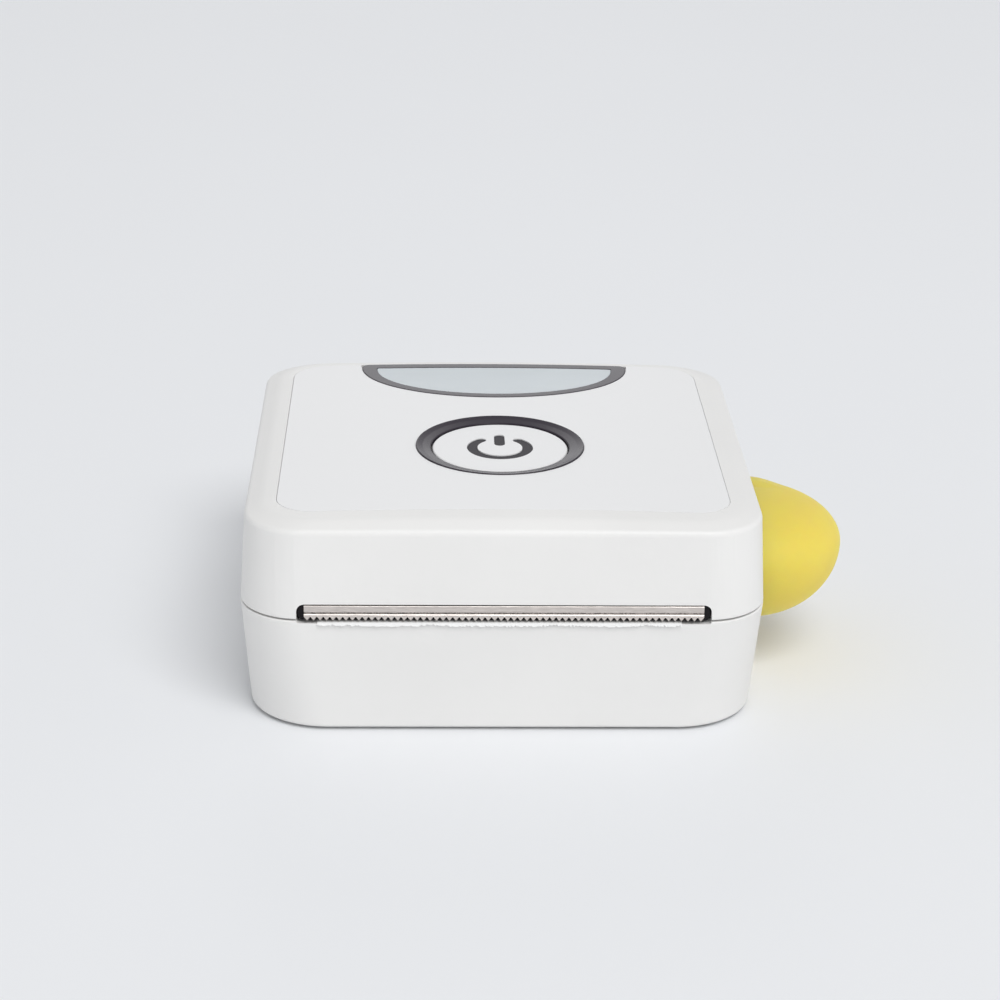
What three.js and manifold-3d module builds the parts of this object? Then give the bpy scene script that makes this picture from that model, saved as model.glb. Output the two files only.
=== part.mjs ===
// Pocket label maker: a square clamshell thermal printer for 57 mm paper rolls.
// Millimetres, +X to the right, +Y to the rear, +Z up.
// The origin is the centre of the flat pad that the printer stands on.
import * as THREE from 'three';
import { mergeVertices } from 'three/addons/utils/BufferGeometryUtils.js';
import Module from 'manifold-3d';

const wasm = await Module();
wasm.setup();

// ---------------------------------------------------------------- driving dimensions
const BODY = { width: 83, depth: 81.9, cornerRadius: 9.8, wall: 2 };
const SEAM = { z: 19.55, gap: 0.3 };
const UNDERSIDE_Z = 0.5;
const FLOOR_TOP_Z = 2.5;
const BASE_DRAFT = 1;                 // the base narrows by this on each side at its foot
const LIP = { low: 17, top: 20.6, inner: 3.2, outer: 2.3 };

const TOP_Z = 36;                     // crest of the crowned top panel
const CROWN = { drop: 0.67, halfSpan: 35.6 };
const BEVEL = { lowZ: 34.05, lowInset: 0.8, highZ: 35.57, highInset: 3.33 };
const RIM = { z: 35.95, inset: 5.6 };
const LID_CEILING_Z = 33.2;
const RECESS = { floorZ: 34.6, inset: 5.75, radius: 6 };
const PANEL_GAP = 0.2;

const HINGE = { y: 41.2, z: SEAM.z, knuckle: 2, pin: 0.8, clearance: 0.3 };
const BASE_KNUCKLES = [[-26, -18], [-4, 4], [18, 26]];
const LID_KNUCKLES = [[-17.7, -4.3], [4.3, 17.7]];

const BUTTON = { x: 0, y: -6.5, radius: 11.2, topZ: 35.5 };
const BUTTON_RING = { outer: 13.9, inner: 11.45, crestZ: 36.15, innerZ: 35.62 };

const WINDOW = {
  frame: { rearY: 34.95, halfSpan: 23.65, frontY: 17.1 },
  lens: { rearY: 33.1, halfSpan: 21.1, frontY: 18.7 },
  lensTopZ: 36,
  cornerRadius: 1.2,
};

const SLOT = { halfWidth: 32.3, topZ: 22.2, bottomZ: 19.05, radius: 1.2 };
const BAR = { halfWidth: 31.2, topZ: 22.05, rootZ: 20.42, tipZ: 19.62, teeth: 62, faceY: -40.9 };

const PAPER = { width: 56.7, centreX: -0.7, thickness: 0.15, z: 19.275, bendY: -27.6 };
const ROLL = { y: 22, z: 18, radius: 13.5, coreOuter: 6.2, coreInner: 4.2 };
const CRADLE = { radius: 14.2, skin: 1, halfWidth: 29.7, cheek: 1.4 };
const DECK = { frontY: -26.2, topZ: 18.4, thickness: 1.4 };

const PLATEN = { y: -32, z: 14.1, radius: 5, shaft: 1.5, halfWidth: 29 };
const GEAR = { module: 0.5, platen: 18, idlerSmall: 14, idlerLarge: 28, pinion: 12 };
const GEAR_PLANES = { inner: [-35.4, -33.4], outer: [-37.9, -36.1] };
const MOTOR = { y: -14.5, z: 10.2, radius: 6, shaft: 0.8 };

const TAB = {
  y: -7.7, z: 20.2, innerX: 39.4, domeX: 42, reach: 15.2, halfDepth: 15.1, above: 8.3, below: 13,
  foldHeight: 0.65, foldLength: 6.8,
};

const SCREW_POSTS = [[-24, -24.2], [24, -24.2], [-34.3, 30.3], [34.3, 30.3]];
const BOARD_POSTS = [[-27.5, -22.5], [27.5, -22.5], [-27.5, -0.5], [27.5, -0.5]];
const BOARD = { halfWidth: 30.5, frontY: -25.6, rearY: 2.2, lowZ: 28.5, topZ: 29.6 };

const FIT = 0.3;                      // air between two separate pieces

// ---------------------------------------------------------------- materials
const finish = (color, roughness, metalness = 0) =>
  new THREE.MeshStandardMaterial({ color, roughness, metalness });
const whitePlastic = finish(0xf0f0ee, 0.5);
const greyPlastic = finish(0x55525a, 0.45);
const blackPlastic = finish(0x17161a, 0.5);
const yellowSilicone = finish(0xe8cf4e, 0.6);
const trayPlastic = finish(0xd9dadb, 0.6);
const clearPlastic = finish(0xc9d3d6, 0.15);
const steel = finish(0xb8b4ae, 0.35, 1);
const aluminium = finish(0xc4c6c9, 0.4, 1);
const rubber = finish(0x242427, 0.85);
const paperWhite = finish(0xf6f6f4, 0.9);
const cardboard = finish(0xb99c74, 0.9);
const gearPlastic = finish(0xe6e0cf, 0.5);
const boardGreen = finish(0x1f5a3c, 0.5);
const ceramic = finish(0xe9e6dd, 0.4);
const batteryFoil = finish(0x9fa6ad, 0.4, 0.4);

// ---------------------------------------------------------------- solids from geometries
function toSolid(geometry) {
  const bare = geometry.clone();
  bare.deleteAttribute('normal');
  bare.deleteAttribute('uv');
  const merged = mergeVertices(bare, 1e-4);
  return new wasm.Manifold(new wasm.Mesh({
    numProp: 3,
    vertProperties: new Float32Array(merged.attributes.position.array),
    triVerts: new Uint32Array(merged.index.array),
  }));
}

function toGeometry(solid) {
  const mesh = solid.getMesh();
  const geometry = new THREE.BufferGeometry();
  geometry.setAttribute('position', new THREE.BufferAttribute(mesh.vertProperties, 3));
  geometry.setIndex(new THREE.BufferAttribute(mesh.triVerts, 1));
  geometry.computeVertexNormals();
  return geometry;
}

const join = (first, ...others) => others.reduce((sum, next) => sum.add(next), first);
const cut = (first, ...others) => others.reduce((sum, next) => sum.subtract(next), first);

// Extrusions are drawn in their own plane and then laid along an axis.
const ALONG_X = new THREE.Matrix4().set(0, 0, 1, 0, 1, 0, 0, 0, 0, 1, 0, 0, 0, 0, 0, 1);
const ALONG_Y = new THREE.Matrix4().set(1, 0, 0, 0, 0, 0, -1, 0, 0, 1, 0, 0, 0, 0, 0, 1);

function extrude(shape, length, segments = 12) {
  return new THREE.ExtrudeGeometry(shape, {
    depth: length, bevelEnabled: false, curveSegments: segments,
  });
}

const prismZ = (shape, z0, z1, segments) =>
  toSolid(extrude(shape, z1 - z0, segments).translate(0, 0, z0));
const prismX = (shapeYZ, x0, x1, segments) =>
  toSolid(extrude(shapeYZ, x1 - x0, segments).applyMatrix4(ALONG_X).translate(x0, 0, 0));
const prismY = (shapeXZ, y0, y1, segments) =>
  toSolid(extrude(shapeXZ, y1 - y0, segments).applyMatrix4(ALONG_Y).translate(0, y1, 0));

function box([x0, x1], [y0, y1], [z0, z1]) {
  const block = new THREE.BoxGeometry(x1 - x0, y1 - y0, z1 - z0);
  return toSolid(block.translate((x0 + x1) / 2, (y0 + y1) / 2, (z0 + z1) / 2));
}

function rodX(radius, x0, x1, y, z, sides = 24) {
  const rod = new THREE.CylinderGeometry(radius, radius, x1 - x0, sides);
  return toSolid(rod.rotateZ(-Math.PI / 2).translate((x0 + x1) / 2, y, z));
}

function rodZ(radius, z0, z1, x, y, sides = 24) {
  const rod = new THREE.CylinderGeometry(radius, radius, z1 - z0, sides);
  return toSolid(rod.rotateX(Math.PI / 2).translate(x, y, (z0 + z1) / 2));
}

function latheZ(profile, x, y, sides = 48) {
  const points = profile.map(([r, z]) => new THREE.Vector2(r, z));
  const turned = new THREE.LatheGeometry([...points, points[0]], sides);
  return toSolid(turned.rotateX(Math.PI / 2).translate(x, y, 0));
}

function polygon(points) {
  return new THREE.Shape(points.map(([u, v]) => new THREE.Vector2(u, v)));
}

function roundedRectangle(u0, u1, v0, v1, radius) {
  const shape = new THREE.Shape();
  shape.moveTo(u0 + radius, v0);
  shape.lineTo(u1 - radius, v0);
  shape.absarc(u1 - radius, v0 + radius, radius, -Math.PI / 2, 0);
  shape.lineTo(u1, v1 - radius);
  shape.absarc(u1 - radius, v1 - radius, radius, 0, Math.PI / 2);
  shape.lineTo(u0 + radius, v1);
  shape.absarc(u0 + radius, v1 - radius, radius, Math.PI / 2, Math.PI);
  shape.lineTo(u0, v0 + radius);
  shape.absarc(u0 + radius, v0 + radius, radius, Math.PI, 1.5 * Math.PI);
  return shape;
}

// One level of a body shell: the plan's rounded square, inset, with its front and rear
// edges divided so that a crowned level can follow the crown.
function shellLevel({ z, inset, radius = BODY.cornerRadius, crown = 0 }) {
  const halfX = BODY.width / 2 - inset;
  const halfY = BODY.depth / 2 - inset;
  const cornerSteps = 8;
  const edgeSteps = 8;
  const points = [];
  const corners = [[1, -1, -90], [1, 1, 0], [-1, 1, 90], [-1, -1, 180]];
  corners.forEach(([signX, signY, startDegrees], index) => {
    for (let step = 0; step <= cornerSteps; step += 1) {
      const angle = THREE.MathUtils.degToRad(startDegrees + (90 * step) / cornerSteps);
      points.push([signX * (halfX - radius) + radius * Math.cos(angle),
        signY * (halfY - radius) + radius * Math.sin(angle)]);
    }
    const crownedEdge = index % 2 === 1;
    for (let step = 1; crownedEdge && step < edgeSteps; step += 1) {
      const x = signX * (halfX - radius) * (1 - (2 * step) / edgeSteps);
      points.push([x, signY * halfY]);
    }
  });
  return points.map(([x, y]) => [x, y, z - crown * (x / CROWN.halfSpan) ** 2]);
}

// A closed skin through loops that all have the same number of points.
function skin(loops) {
  const count = loops[0].length;
  const centre = (loop) => [0, 1, 2].map((axis) => loop.reduce((sum, p) => sum + p[axis], 0) / count);
  const positions = [...loops.flat(2), ...centre(loops[0]), ...centre(loops.at(-1))];
  const index = [];
  for (let level = 0; level + 1 < loops.length; level += 1) {
    for (let i = 0; i < count; i += 1) {
      const [a, b] = [level * count + i, level * count + ((i + 1) % count)];
      index.push(a, b, b + count, a, b + count, a + count);
    }
  }
  const lowCentre = loops.length * count;
  const top = lowCentre - count;
  for (let i = 0; i < count; i += 1) {
    const next = (i + 1) % count;
    index.push(lowCentre, next, i, lowCentre + 1, top + i, top + next);
  }
  const geometry = new THREE.BufferGeometry();
  geometry.setAttribute('position', new THREE.Float32BufferAttribute(positions, 3));
  geometry.setIndex(index);
  return toSolid(geometry);
}

const loft = (levels) => skin(levels.map(shellLevel));

// Everything below the crowned surface that passes through topZ at the middle.
function belowCrown(topZ) {
  const steps = 16;
  const halfWidth = 36;
  const outline = [[-halfWidth, 30]];
  outline.push([halfWidth, 30]);
  for (let step = 0; step <= steps; step += 1) {
    const x = halfWidth * (1 - (2 * step) / steps);
    outline.push([x, topZ - CROWN.drop * (x / CROWN.halfSpan) ** 2]);
  }
  return prismY(polygon(outline), -BODY.depth / 2, BODY.depth / 2);
}

// ---------------------------------------------------------------- the assembly
const labelMaker = new THREE.Group();
labelMaker.name = 'label_maker';

function addPart(name, shape, material) {
  const geometry = shape.isBufferGeometry ? shape : toGeometry(shape);
  const mesh = new THREE.Mesh(geometry, material);
  mesh.name = name;
  labelMaker.add(mesh);
}

const halfDepth = BODY.depth / 2;
const halfWidth = BODY.width / 2;
const baseTopZ = SEAM.z - SEAM.gap / 2;
const lidLowZ = SEAM.z + SEAM.gap / 2;

// The tab seen from the side is two half ellipses, with a low fold along its upper rear. It
// passes through the side wall, and its wider flange sits in a pocket behind it.
function tabLoop(x, { shrink = 1, grow = 0, fold = 1 } = {}) {
  const { smoothstep, degToRad } = THREE.MathUtils;
  return Array.from({ length: 40 }, (_, step) => {
    const degrees = 9 * step - 180;
    const [side, up] = [Math.cos(degToRad(degrees)), Math.sin(degToRad(degrees))];
    const rise = fold * TAB.foldHeight * smoothstep(degrees, -30, 35) * (1 - smoothstep(degrees, 73, 80));
    const height = up > 0 ? TAB.above : TAB.below;
    return [x, TAB.y + side * (TAB.halfDepth * shrink + grow + rise),
      TAB.z + up * (height * shrink + grow + rise)];
  });
}

const tabPrism = (grow, x0, x1) => skin([tabLoop(x0, { grow }), tabLoop(x1, { grow })]);
const FLANGE = { grow: 0.9, x: [37.8, 39.1] };
const wallTabHole = join(
  tabPrism(0.25, 36, halfWidth + 2),
  tabPrism(FLANGE.grow + FIT, 35, FLANGE.x[1] + FIT),
);

function knuckles(spans, radius) {
  return join(...spans.map(([x0, x1]) => rodX(radius, x0, x1, HINGE.y, HINGE.z)));
}

const widened = (spans) => spans.map(([x0, x1]) => [x0 - FIT, x1 + FIT]);
const hingeBore = rodX(HINGE.pin + 0.15, -26.1, 26.1, HINGE.y, HINGE.z);

// ---- base shell with its locating lip, bosses, screw seats and port opening
function baseShell() {
  const cavityInset = BODY.wall;
  const outer = loft([
    { z: UNDERSIDE_Z, inset: BASE_DRAFT + 0.9, radius: 11.8 },
    { z: UNDERSIDE_Z + 0.25, inset: BASE_DRAFT + 0.35, radius: 12.2 },
    { z: UNDERSIDE_Z + 0.9, inset: BASE_DRAFT, radius: 12.5 },
    { z: baseTopZ - 0.3, inset: 0 },
    { z: baseTopZ, inset: 0.12, radius: 9.7 },
  ]);
  const cavity = loft([
    { z: FLOOR_TOP_Z, inset: BASE_DRAFT + cavityInset, radius: 9 },
    { z: baseTopZ + 1, inset: cavityInset, radius: 7.8 },
  ]);
  const ring = (outerInset, z0, z1) => cut(
    loft([z0, z1].map((z) => ({ z, inset: outerInset, radius: 7.6 }))),
    loft([z0 - 1, z1 + 1].map((z) => ({ z, inset: LIP.inner, radius: 6.8 }))),
  );
  const rib = [[40, 13], [43.2, 18.5], [43.2, HINGE.z], [40, HINGE.z]];
  const ribs = BASE_KNUCKLES.map(([x0, x1]) => prismX(polygon(rib), x0, x1));
  const frontSlot = box([-SLOT.halfWidth - 0.7, SLOT.halfWidth + 0.7], [-43, -37], [LIP.low - 1, 24]);
  const slotRelief = box([-SLOT.halfWidth, SLOT.halfWidth], [-43, -37], [SLOT.bottomZ, 24]);
  const lip = cut(
    join(ring(BODY.wall - 0.1, LIP.low, baseTopZ), ring(LIP.outer, baseTopZ - 0.1, LIP.top)),
    frontSlot,
  );
  const padSeat = prismZ(roundedRectangle(-28.3, 28.3, -16.3, 22.3, 6), 0, 1.1);
  const screwSeats = SCREW_POSTS.map(([x, y]) => join(
    rodZ(2.3, 0, 1.6, x, y),
    rodZ(1.2, 0, 4, x, y),
  ));
  const port = roundedRectangle(12.3, 21.7, 7.2, 10.8, 1.7);
  return cut(
    join(cut(outer, cavity), lip, ...ribs, knuckles(BASE_KNUCKLES, HINGE.knuckle)),
    slotRelief,
    wallTabHole,
    knuckles(widened(LID_KNUCKLES), HINGE.knuckle + HINGE.clearance),
    hingeBore,
    padSeat,
    ...screwSeats,
    prismX(port, -43, -36),
  );
}

// ---- the window's half-moon outline: straight at the rear, an elliptical arc in front
function halfMoon({ rearY, halfSpan, frontY }, grow = 0) {
  const corner = WINDOW.cornerRadius;
  const sideY = rearY - corner;
  const span = halfSpan + grow;
  const shape = new THREE.Shape();
  shape.moveTo(-span, sideY);
  shape.absellipse(0, sideY, span, sideY - frontY + grow, Math.PI, 2 * Math.PI, false);
  shape.absarc(halfSpan - corner, sideY, corner + grow, 0, Math.PI / 2, false);
  shape.lineTo(-halfSpan + corner, rearY + grow);
  shape.absarc(-halfSpan + corner, sideY, corner + grow, Math.PI / 2, Math.PI, false);
  return shape;
}

const WINDOW_SEGMENTS = 20;
const windowPrism = (outline, grow, z0, z1) =>
  prismZ(halfMoon(outline, grow), z0, z1, WINDOW_SEGMENTS);

// ---- lid shell: walls, bevel, crowned rim, recess for the panel, posts and openings
function lidShell() {
  const outer = loft([
    { z: lidLowZ, inset: 0.12, radius: 9.7 },
    { z: lidLowZ + 0.3, inset: 0 },
    { z: BEVEL.lowZ, inset: BEVEL.lowInset, radius: 9.65 },
    { z: BEVEL.highZ, inset: BEVEL.highInset, radius: 8.2, crown: 0.54 },
    { z: RIM.z, inset: RIM.inset, radius: 6.2, crown: CROWN.drop },
  ]);
  const cavity = loft([
    { z: lidLowZ - 1, inset: BODY.wall, radius: 7.8 },
    { z: LID_CEILING_Z, inset: BODY.wall + 0.8, radius: 7.6 },
  ]);
  const recessX = halfWidth - RECESS.inset;
  const recessY = halfDepth - RECESS.inset;
  const recess = prismZ(roundedRectangle(-recessX, recessX, -recessY, recessY, RECESS.radius),
    RECESS.floorZ, 40);
  const slotShape = roundedRectangle(-SLOT.halfWidth, SLOT.halfWidth, 17, SLOT.topZ, SLOT.radius);
  const windowHole = windowPrism(WINDOW.lens, -1, 30, 40);
  const rib = [
    [40, 26], [40, lidLowZ + 0.05], [HINGE.y, HINGE.z + 0.2], [43.2, HINGE.z + 0.2], [43.2, 20.8],
  ];
  const ribs = LID_KNUCKLES.map(([x0, x1]) => prismX(polygon(rib), x0, x1));
  const posts = BOARD_POSTS.map(([x, y]) => cut(
    rodZ(2.1, BOARD.topZ + FIT, LID_CEILING_Z + 0.3, x, y),
    rodZ(0.9, BOARD.topZ - 1, LID_CEILING_Z - 0.6, x, y, 12),
  ));
  const springPins = [-17, 17].map((x) => rodZ(1.1, 24, LID_CEILING_Z + 0.3, x, PLATEN.y, 12));
  const keeperRib = box([34.8, 36.2], [TAB.y - 2.6, TAB.y + 2.6], [30, LID_CEILING_Z + 0.3]);
  return cut(
    join(cut(outer, cavity), ...ribs, knuckles(LID_KNUCKLES, HINGE.knuckle), ...posts,
      ...springPins, keeperRib),
    recess,
    rodZ(11.6, 30, 40, BUTTON.x, BUTTON.y, 48),
    windowHole,
    prismY(slotShape, -43, -37),
    wallTabHole,
    knuckles(widened(BASE_KNUCKLES), HINGE.knuckle + HINGE.clearance),
    hingeBore,
  );
}

addPart('base_shell', baseShell(), whitePlastic);
addPart('lid_shell', lidShell(), whitePlastic);
addPart('hinge_pin', rodX(HINGE.pin, -25.8, 25.8, HINGE.y, HINGE.z, 16), steel);

// ---- underside: the pad it stands on and the four case screws
addPart('base_pad', prismZ(roundedRectangle(-28, 28, -16, 22, 6), 0, 0.8, 6), rubber);
SCREW_POSTS.forEach(([x, y], index) => {
  const screw = join(rodZ(1.9, 0.7, 1.5, x, y, 16), rodZ(0.8, 1.4, 8, x, y, 12));
  addPart(`case_screw_${index + 1}`, screw, steel);
});

// ---- top: panel, window and power button
function topPanel() {
  const x = halfWidth - RECESS.inset - PANEL_GAP;
  const y = halfDepth - RECESS.inset - PANEL_GAP;
  const plate = prismZ(roundedRectangle(-x, x, -y, y, RECESS.radius - PANEL_GAP),
    RECESS.floorZ + 0.1, 38);
  const notchX = WINDOW.frame.halfSpan + PANEL_GAP;
  const notch = box([-notchX, notchX], [WINDOW.frame.rearY - WINDOW.cornerRadius, 40], [30, 40]);
  return cut(plate.intersect(belowCrown(TOP_Z)), windowPrism(WINDOW.frame, PANEL_GAP, 30, 40), notch,
    rodZ(BUTTON_RING.outer + PANEL_GAP, 30, 40, BUTTON.x, BUTTON.y, 64));
}

function windowFrame() {
  const frame = windowPrism(WINDOW.frame, 0, RECESS.floorZ + 0.1, 38);
  return cut(frame, windowPrism(WINDOW.lens, 0, 30, 40)).intersect(belowCrown(TOP_Z + 0.08));
}

addPart('top_panel', topPanel(), whitePlastic);
addPart('window_frame', windowFrame(), greyPlastic);
addPart('window_lens', windowPrism(WINDOW.lens, -0.15, RECESS.floorZ + 0.1, WINDOW.lensTopZ)
  .intersect(belowCrown(TOP_Z + 0.02)), clearPlastic);

addPart('button_ring', latheZ([
  [BUTTON_RING.inner, RECESS.floorZ + 0.1],
  [BUTTON_RING.outer, RECESS.floorZ + 0.1],
  [BUTTON_RING.outer, BUTTON_RING.crestZ - 0.12],
  [BUTTON_RING.outer - 0.12, BUTTON_RING.crestZ],
  [BUTTON_RING.inner, BUTTON_RING.innerZ],
], BUTTON.x, BUTTON.y), greyPlastic);

// The cap has slots in the form of a power mark; the dark insert fills them from below.
function powerMark(grow, z0, z1) {
  const stroke = 0.8 + grow;
  const middle = 4.6;
  const gapAngle = THREE.MathUtils.degToRad(42);
  const start = Math.PI / 2 + gapAngle;
  const end = 2.5 * Math.PI - gapAngle;
  const arc = new THREE.Shape();
  arc.absarc(0, 0, middle + stroke, start, end, false);
  arc.absarc(middle * Math.cos(end), middle * Math.sin(end), stroke, end, end + Math.PI, false);
  arc.absarc(0, 0, middle - stroke, end, start, true);
  arc.absarc(middle * Math.cos(start), middle * Math.sin(start), stroke, start + Math.PI,
    start + 2 * Math.PI, false);
  const bar = roundedRectangle(-stroke, stroke, 0.9 - grow, 6 + grow, stroke - 0.01);
  return join(prismZ(arc, z0, z1, 8), prismZ(bar, z0, z1, 5)).translate([BUTTON.x, BUTTON.y, 0]);
}

const capSkinZ = BUTTON.topZ - 1.2;
addPart('power_button', cut(
  join(
    rodZ(BUTTON.radius, 32.4, BUTTON.topZ, BUTTON.x, BUTTON.y, 48),
    rodZ(12.6, 32.1, 32.9, BUTTON.x, BUTTON.y, 48),
  ),
  rodZ(10, 30, capSkinZ, BUTTON.x, BUTTON.y, 36),
  powerMark(0.15, capSkinZ - 1, 40),
), whitePlastic);
addPart('button_icon', join(
  rodZ(9.7, 33.2, capSkinZ - 0.1, BUTTON.x, BUTTON.y, 36),
  powerMark(0, capSkinZ - 0.3, BUTTON.topZ + 0.05),
  rodZ(2.4, BOARD.topZ + 2.15, 33.4, BUTTON.x, BUTTON.y, 16),
), greyPlastic);

// ---- lid electronics: board, switch and screws
const boardBlank = box([-BOARD.halfWidth, BOARD.halfWidth], [BOARD.frontY, BOARD.rearY],
  [BOARD.lowZ, BOARD.topZ]);
addPart('main_board', cut(boardBlank,
  ...BOARD_POSTS.map(([x, y]) => rodZ(1, BOARD.lowZ - 1, BOARD.topZ + 1, x, y, 12))), boardGreen);
addPart('tact_switch', join(
  box([BUTTON.x - 3, BUTTON.x + 3], [BUTTON.y - 3, BUTTON.y + 3], [BOARD.topZ + 0.1, BOARD.topZ + 1]),
  rodZ(1.6, BOARD.topZ + 0.9, BOARD.topZ + 1.5, BUTTON.x, BUTTON.y, 16),
), blackPlastic);
BOARD_POSTS.forEach(([x, y], index) => {
  const screw = join(rodZ(1.6, 27.4, BOARD.lowZ - 0.1, x, y, 12), rodZ(0.7, 28.2, 32, x, y, 10));
  addPart(`board_screw_${index + 1}`, screw, steel);
});

// ---- print head, carried in the lid above the platen roller
function coilSpring(radius, wire, turns, length) {
  const stepsPerTurn = 9;
  const points = [];
  for (let step = 0; step <= turns * stepsPerTurn; step += 1) {
    const angle = (2 * Math.PI * step) / stepsPerTurn;
    points.push(new THREE.Vector3(radius * Math.cos(angle), radius * Math.sin(angle),
      (length * step) / (turns * stepsPerTurn)));
  }
  const section = new THREE.Shape();
  section.absarc(0, 0, wire, 0, 2 * Math.PI);
  return new THREE.ExtrudeGeometry(section, {
    steps: turns * stepsPerTurn, curveSegments: 3, bevelEnabled: false,
    extrudePath: new THREE.CatmullRomCurve3(points),
  });
}

const headFloorZ = PAPER.z + 0.175;
addPart('print_head', box([-29.5, 29.5], [-36.6, -30], [headFloorZ, headFloorZ + 0.8]), ceramic);
addPart('head_heatsink', join(
  box([-30, 30], [-37.2, -28.2], [headFloorZ + 0.9, headFloorZ + 2.3]),
  box([-30, 30], [-29.6, -28.2], [headFloorZ + 2.2, headFloorZ + 5.4]),
), aluminium);
[['left', -17], ['right', 17]].forEach(([side, x]) => {
  const spring = coilSpring(1.9, 0.3, 5, 9.6);
  addPart(`head_spring_${side}`, spring.translate(x, PLATEN.y, 22.4), steel);
});
addPart('head_ribbon', prismX(polygon([
  [-27.9, 21], [-27.1, 21], [-26.9, 22], [-26.9, 26], [-25, 28], [-21, 28.1], [-21, 28.35],
  [-25.2, 28.3], [-27.2, 26.2], [-27.2, 22.1], [-27.9, 21.25],
]), -10, 10), yellowSilicone);

// ---- slot: the black carrier in the lid's notch and the serrated steel bar in front of it
addPart('tear_bar_carrier', prismY(
  roundedRectangle(-SLOT.halfWidth + 0.15, SLOT.halfWidth - 0.15, SEAM.z - 0.05, SLOT.topZ - 0.15, 1),
  -40.5, -37.6,
), blackPlastic);

function tearBar() {
  const pitch = (2 * BAR.halfWidth) / BAR.teeth;
  const foldZ = 20.85;
  const outline = [[BAR.halfWidth, BAR.rootZ], [BAR.halfWidth, foldZ], [-BAR.halfWidth, foldZ],
    [-BAR.halfWidth, BAR.rootZ]];
  for (let tooth = 0; tooth < BAR.teeth; tooth += 1) {
    const left = -BAR.halfWidth + tooth * pitch;
    outline.push([left + 0.42 * pitch, BAR.tipZ], [left + 0.58 * pitch, BAR.tipZ]);
    if (tooth + 1 < BAR.teeth) outline.push([left + pitch, BAR.rootZ]);
  }
  const serration = prismY(polygon(outline), BAR.faceY - 0.25, BAR.faceY + 0.05);
  const plate = box([-BAR.halfWidth, BAR.halfWidth], [BAR.faceY, BAR.faceY + 0.3],
    [foldZ - 0.1, BAR.topZ]);
  return join(serration, plate);
}

addPart('tear_bar', tearBar(), steel);

// ---- paper: the roll in its cradle, its core, and the strip that leaves through the slot
function cradleAndDeck() {
  const { radius, skin } = CRADLE;
  const deckLowZ = DECK.topZ - DECK.thickness;
  const angleAt = (r, z) => Math.asin((z - ROLL.z) / r);
  const innerAngle = angleAt(radius, DECK.topZ);
  const outerTop = angleAt(radius + skin, DECK.topZ);
  const outerLow = angleAt(radius + skin, deckLowZ);
  const section = new THREE.Shape();
  section.moveTo(DECK.frontY, DECK.topZ);
  section.lineTo(DECK.frontY, deckLowZ);
  section.absarc(ROLL.y, ROLL.z, radius + skin, Math.PI - outerLow, 2 * Math.PI + outerTop, false);
  section.absarc(ROLL.y, ROLL.z, radius, 2 * Math.PI + innerAngle, Math.PI - innerAngle, true);
  const cheek = new THREE.Shape();
  cheek.absarc(ROLL.y, ROLL.z, radius + skin, Math.PI - outerTop, 2 * Math.PI + outerTop, false);
  const outerX = CRADLE.halfWidth + CRADLE.cheek;
  return join(
    prismX(section, -CRADLE.halfWidth - 0.1, CRADLE.halfWidth + 0.1, 22),
    prismX(cheek, CRADLE.halfWidth, outerX, 22),
    prismX(cheek, -outerX, -CRADLE.halfWidth, 22),
  );
}

function innerTray() {
  const outerX = CRADLE.halfWidth + CRADLE.cheek;
  const frontPosts = SCREW_POSTS.slice(0, 2).map(([x, y]) => rodZ(2.2, 2.8, DECK.topZ - 1, x, y, 16));
  const rearLugs = SCREW_POSTS.slice(2).map(([x, y]) => {
    const side = Math.sign(x);
    const span = [side * (outerX - 0.5), x + side * 2.5].sort((a, b) => a - b);
    return box(span, [y - 2.4, y + 2.4], [2.8, 10]);
  });
  const bores = SCREW_POSTS.map(([x, y]) => rodZ(1.1, 2, 9, x, y, 12));
  const sensorHole = box([2.5, 7.5], [-23, -19], [15, 20]);
  return cut(join(cradleAndDeck(), ...frontPosts, ...rearLugs), ...bores, sensorHole);
}

addPart('inner_tray', innerTray(), trayPlastic);
addPart('paper_sensor', box([2.8, 7.2], [-22.7, -19.3], [16.6, DECK.topZ - 0.1]), blackPlastic);

const paperLeft = PAPER.centreX - PAPER.width / 2;
const paperRight = PAPER.centreX + PAPER.width / 2;
addPart('paper_roll', cut(
  rodX(ROLL.radius, paperLeft, paperRight, ROLL.y, ROLL.z, 48),
  rodX(ROLL.coreOuter + 0.15, -40, 40, ROLL.y, ROLL.z, 32),
), paperWhite);
addPart('roll_core', cut(
  rodX(ROLL.coreOuter, paperLeft, paperRight, ROLL.y, ROLL.z, 32),
  rodX(ROLL.coreInner, -40, 40, ROLL.y, ROLL.z, 24),
), cardboard);

// The strip leaves the roll at a tangent, runs level over the platen, and droops outside.
function paperStrip() {
  const reach = ROLL.radius + 0.25;
  const toRoll = new THREE.Vector2(ROLL.y - PAPER.bendY, ROLL.z - PAPER.z);
  const slope = toRoll.angle() - 2 * Math.PI + Math.asin(reach / toRoll.length());
  const run = Math.sqrt(toRoll.lengthSq() - reach ** 2);
  const middle = [
    [PAPER.bendY + run * Math.cos(slope), PAPER.z + run * Math.sin(slope)],
    [PAPER.bendY, PAPER.z],
    [-41, PAPER.z],
    [-41.15, PAPER.z - 0.15],
    [-41.2, PAPER.z - 0.6],
  ];
  const half = PAPER.thickness / 2;
  const above = middle.map(([y, z], i) => (i > 2 ? [y - half, z] : [y, z + half]));
  const below = middle.map(([y, z], i) => (i > 2 ? [y + half, z] : [y, z - half]));
  return prismX(polygon([...above, ...below.reverse()]), paperLeft, paperRight);
}

addPart('paper_strip', paperStrip(), paperWhite);

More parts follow.
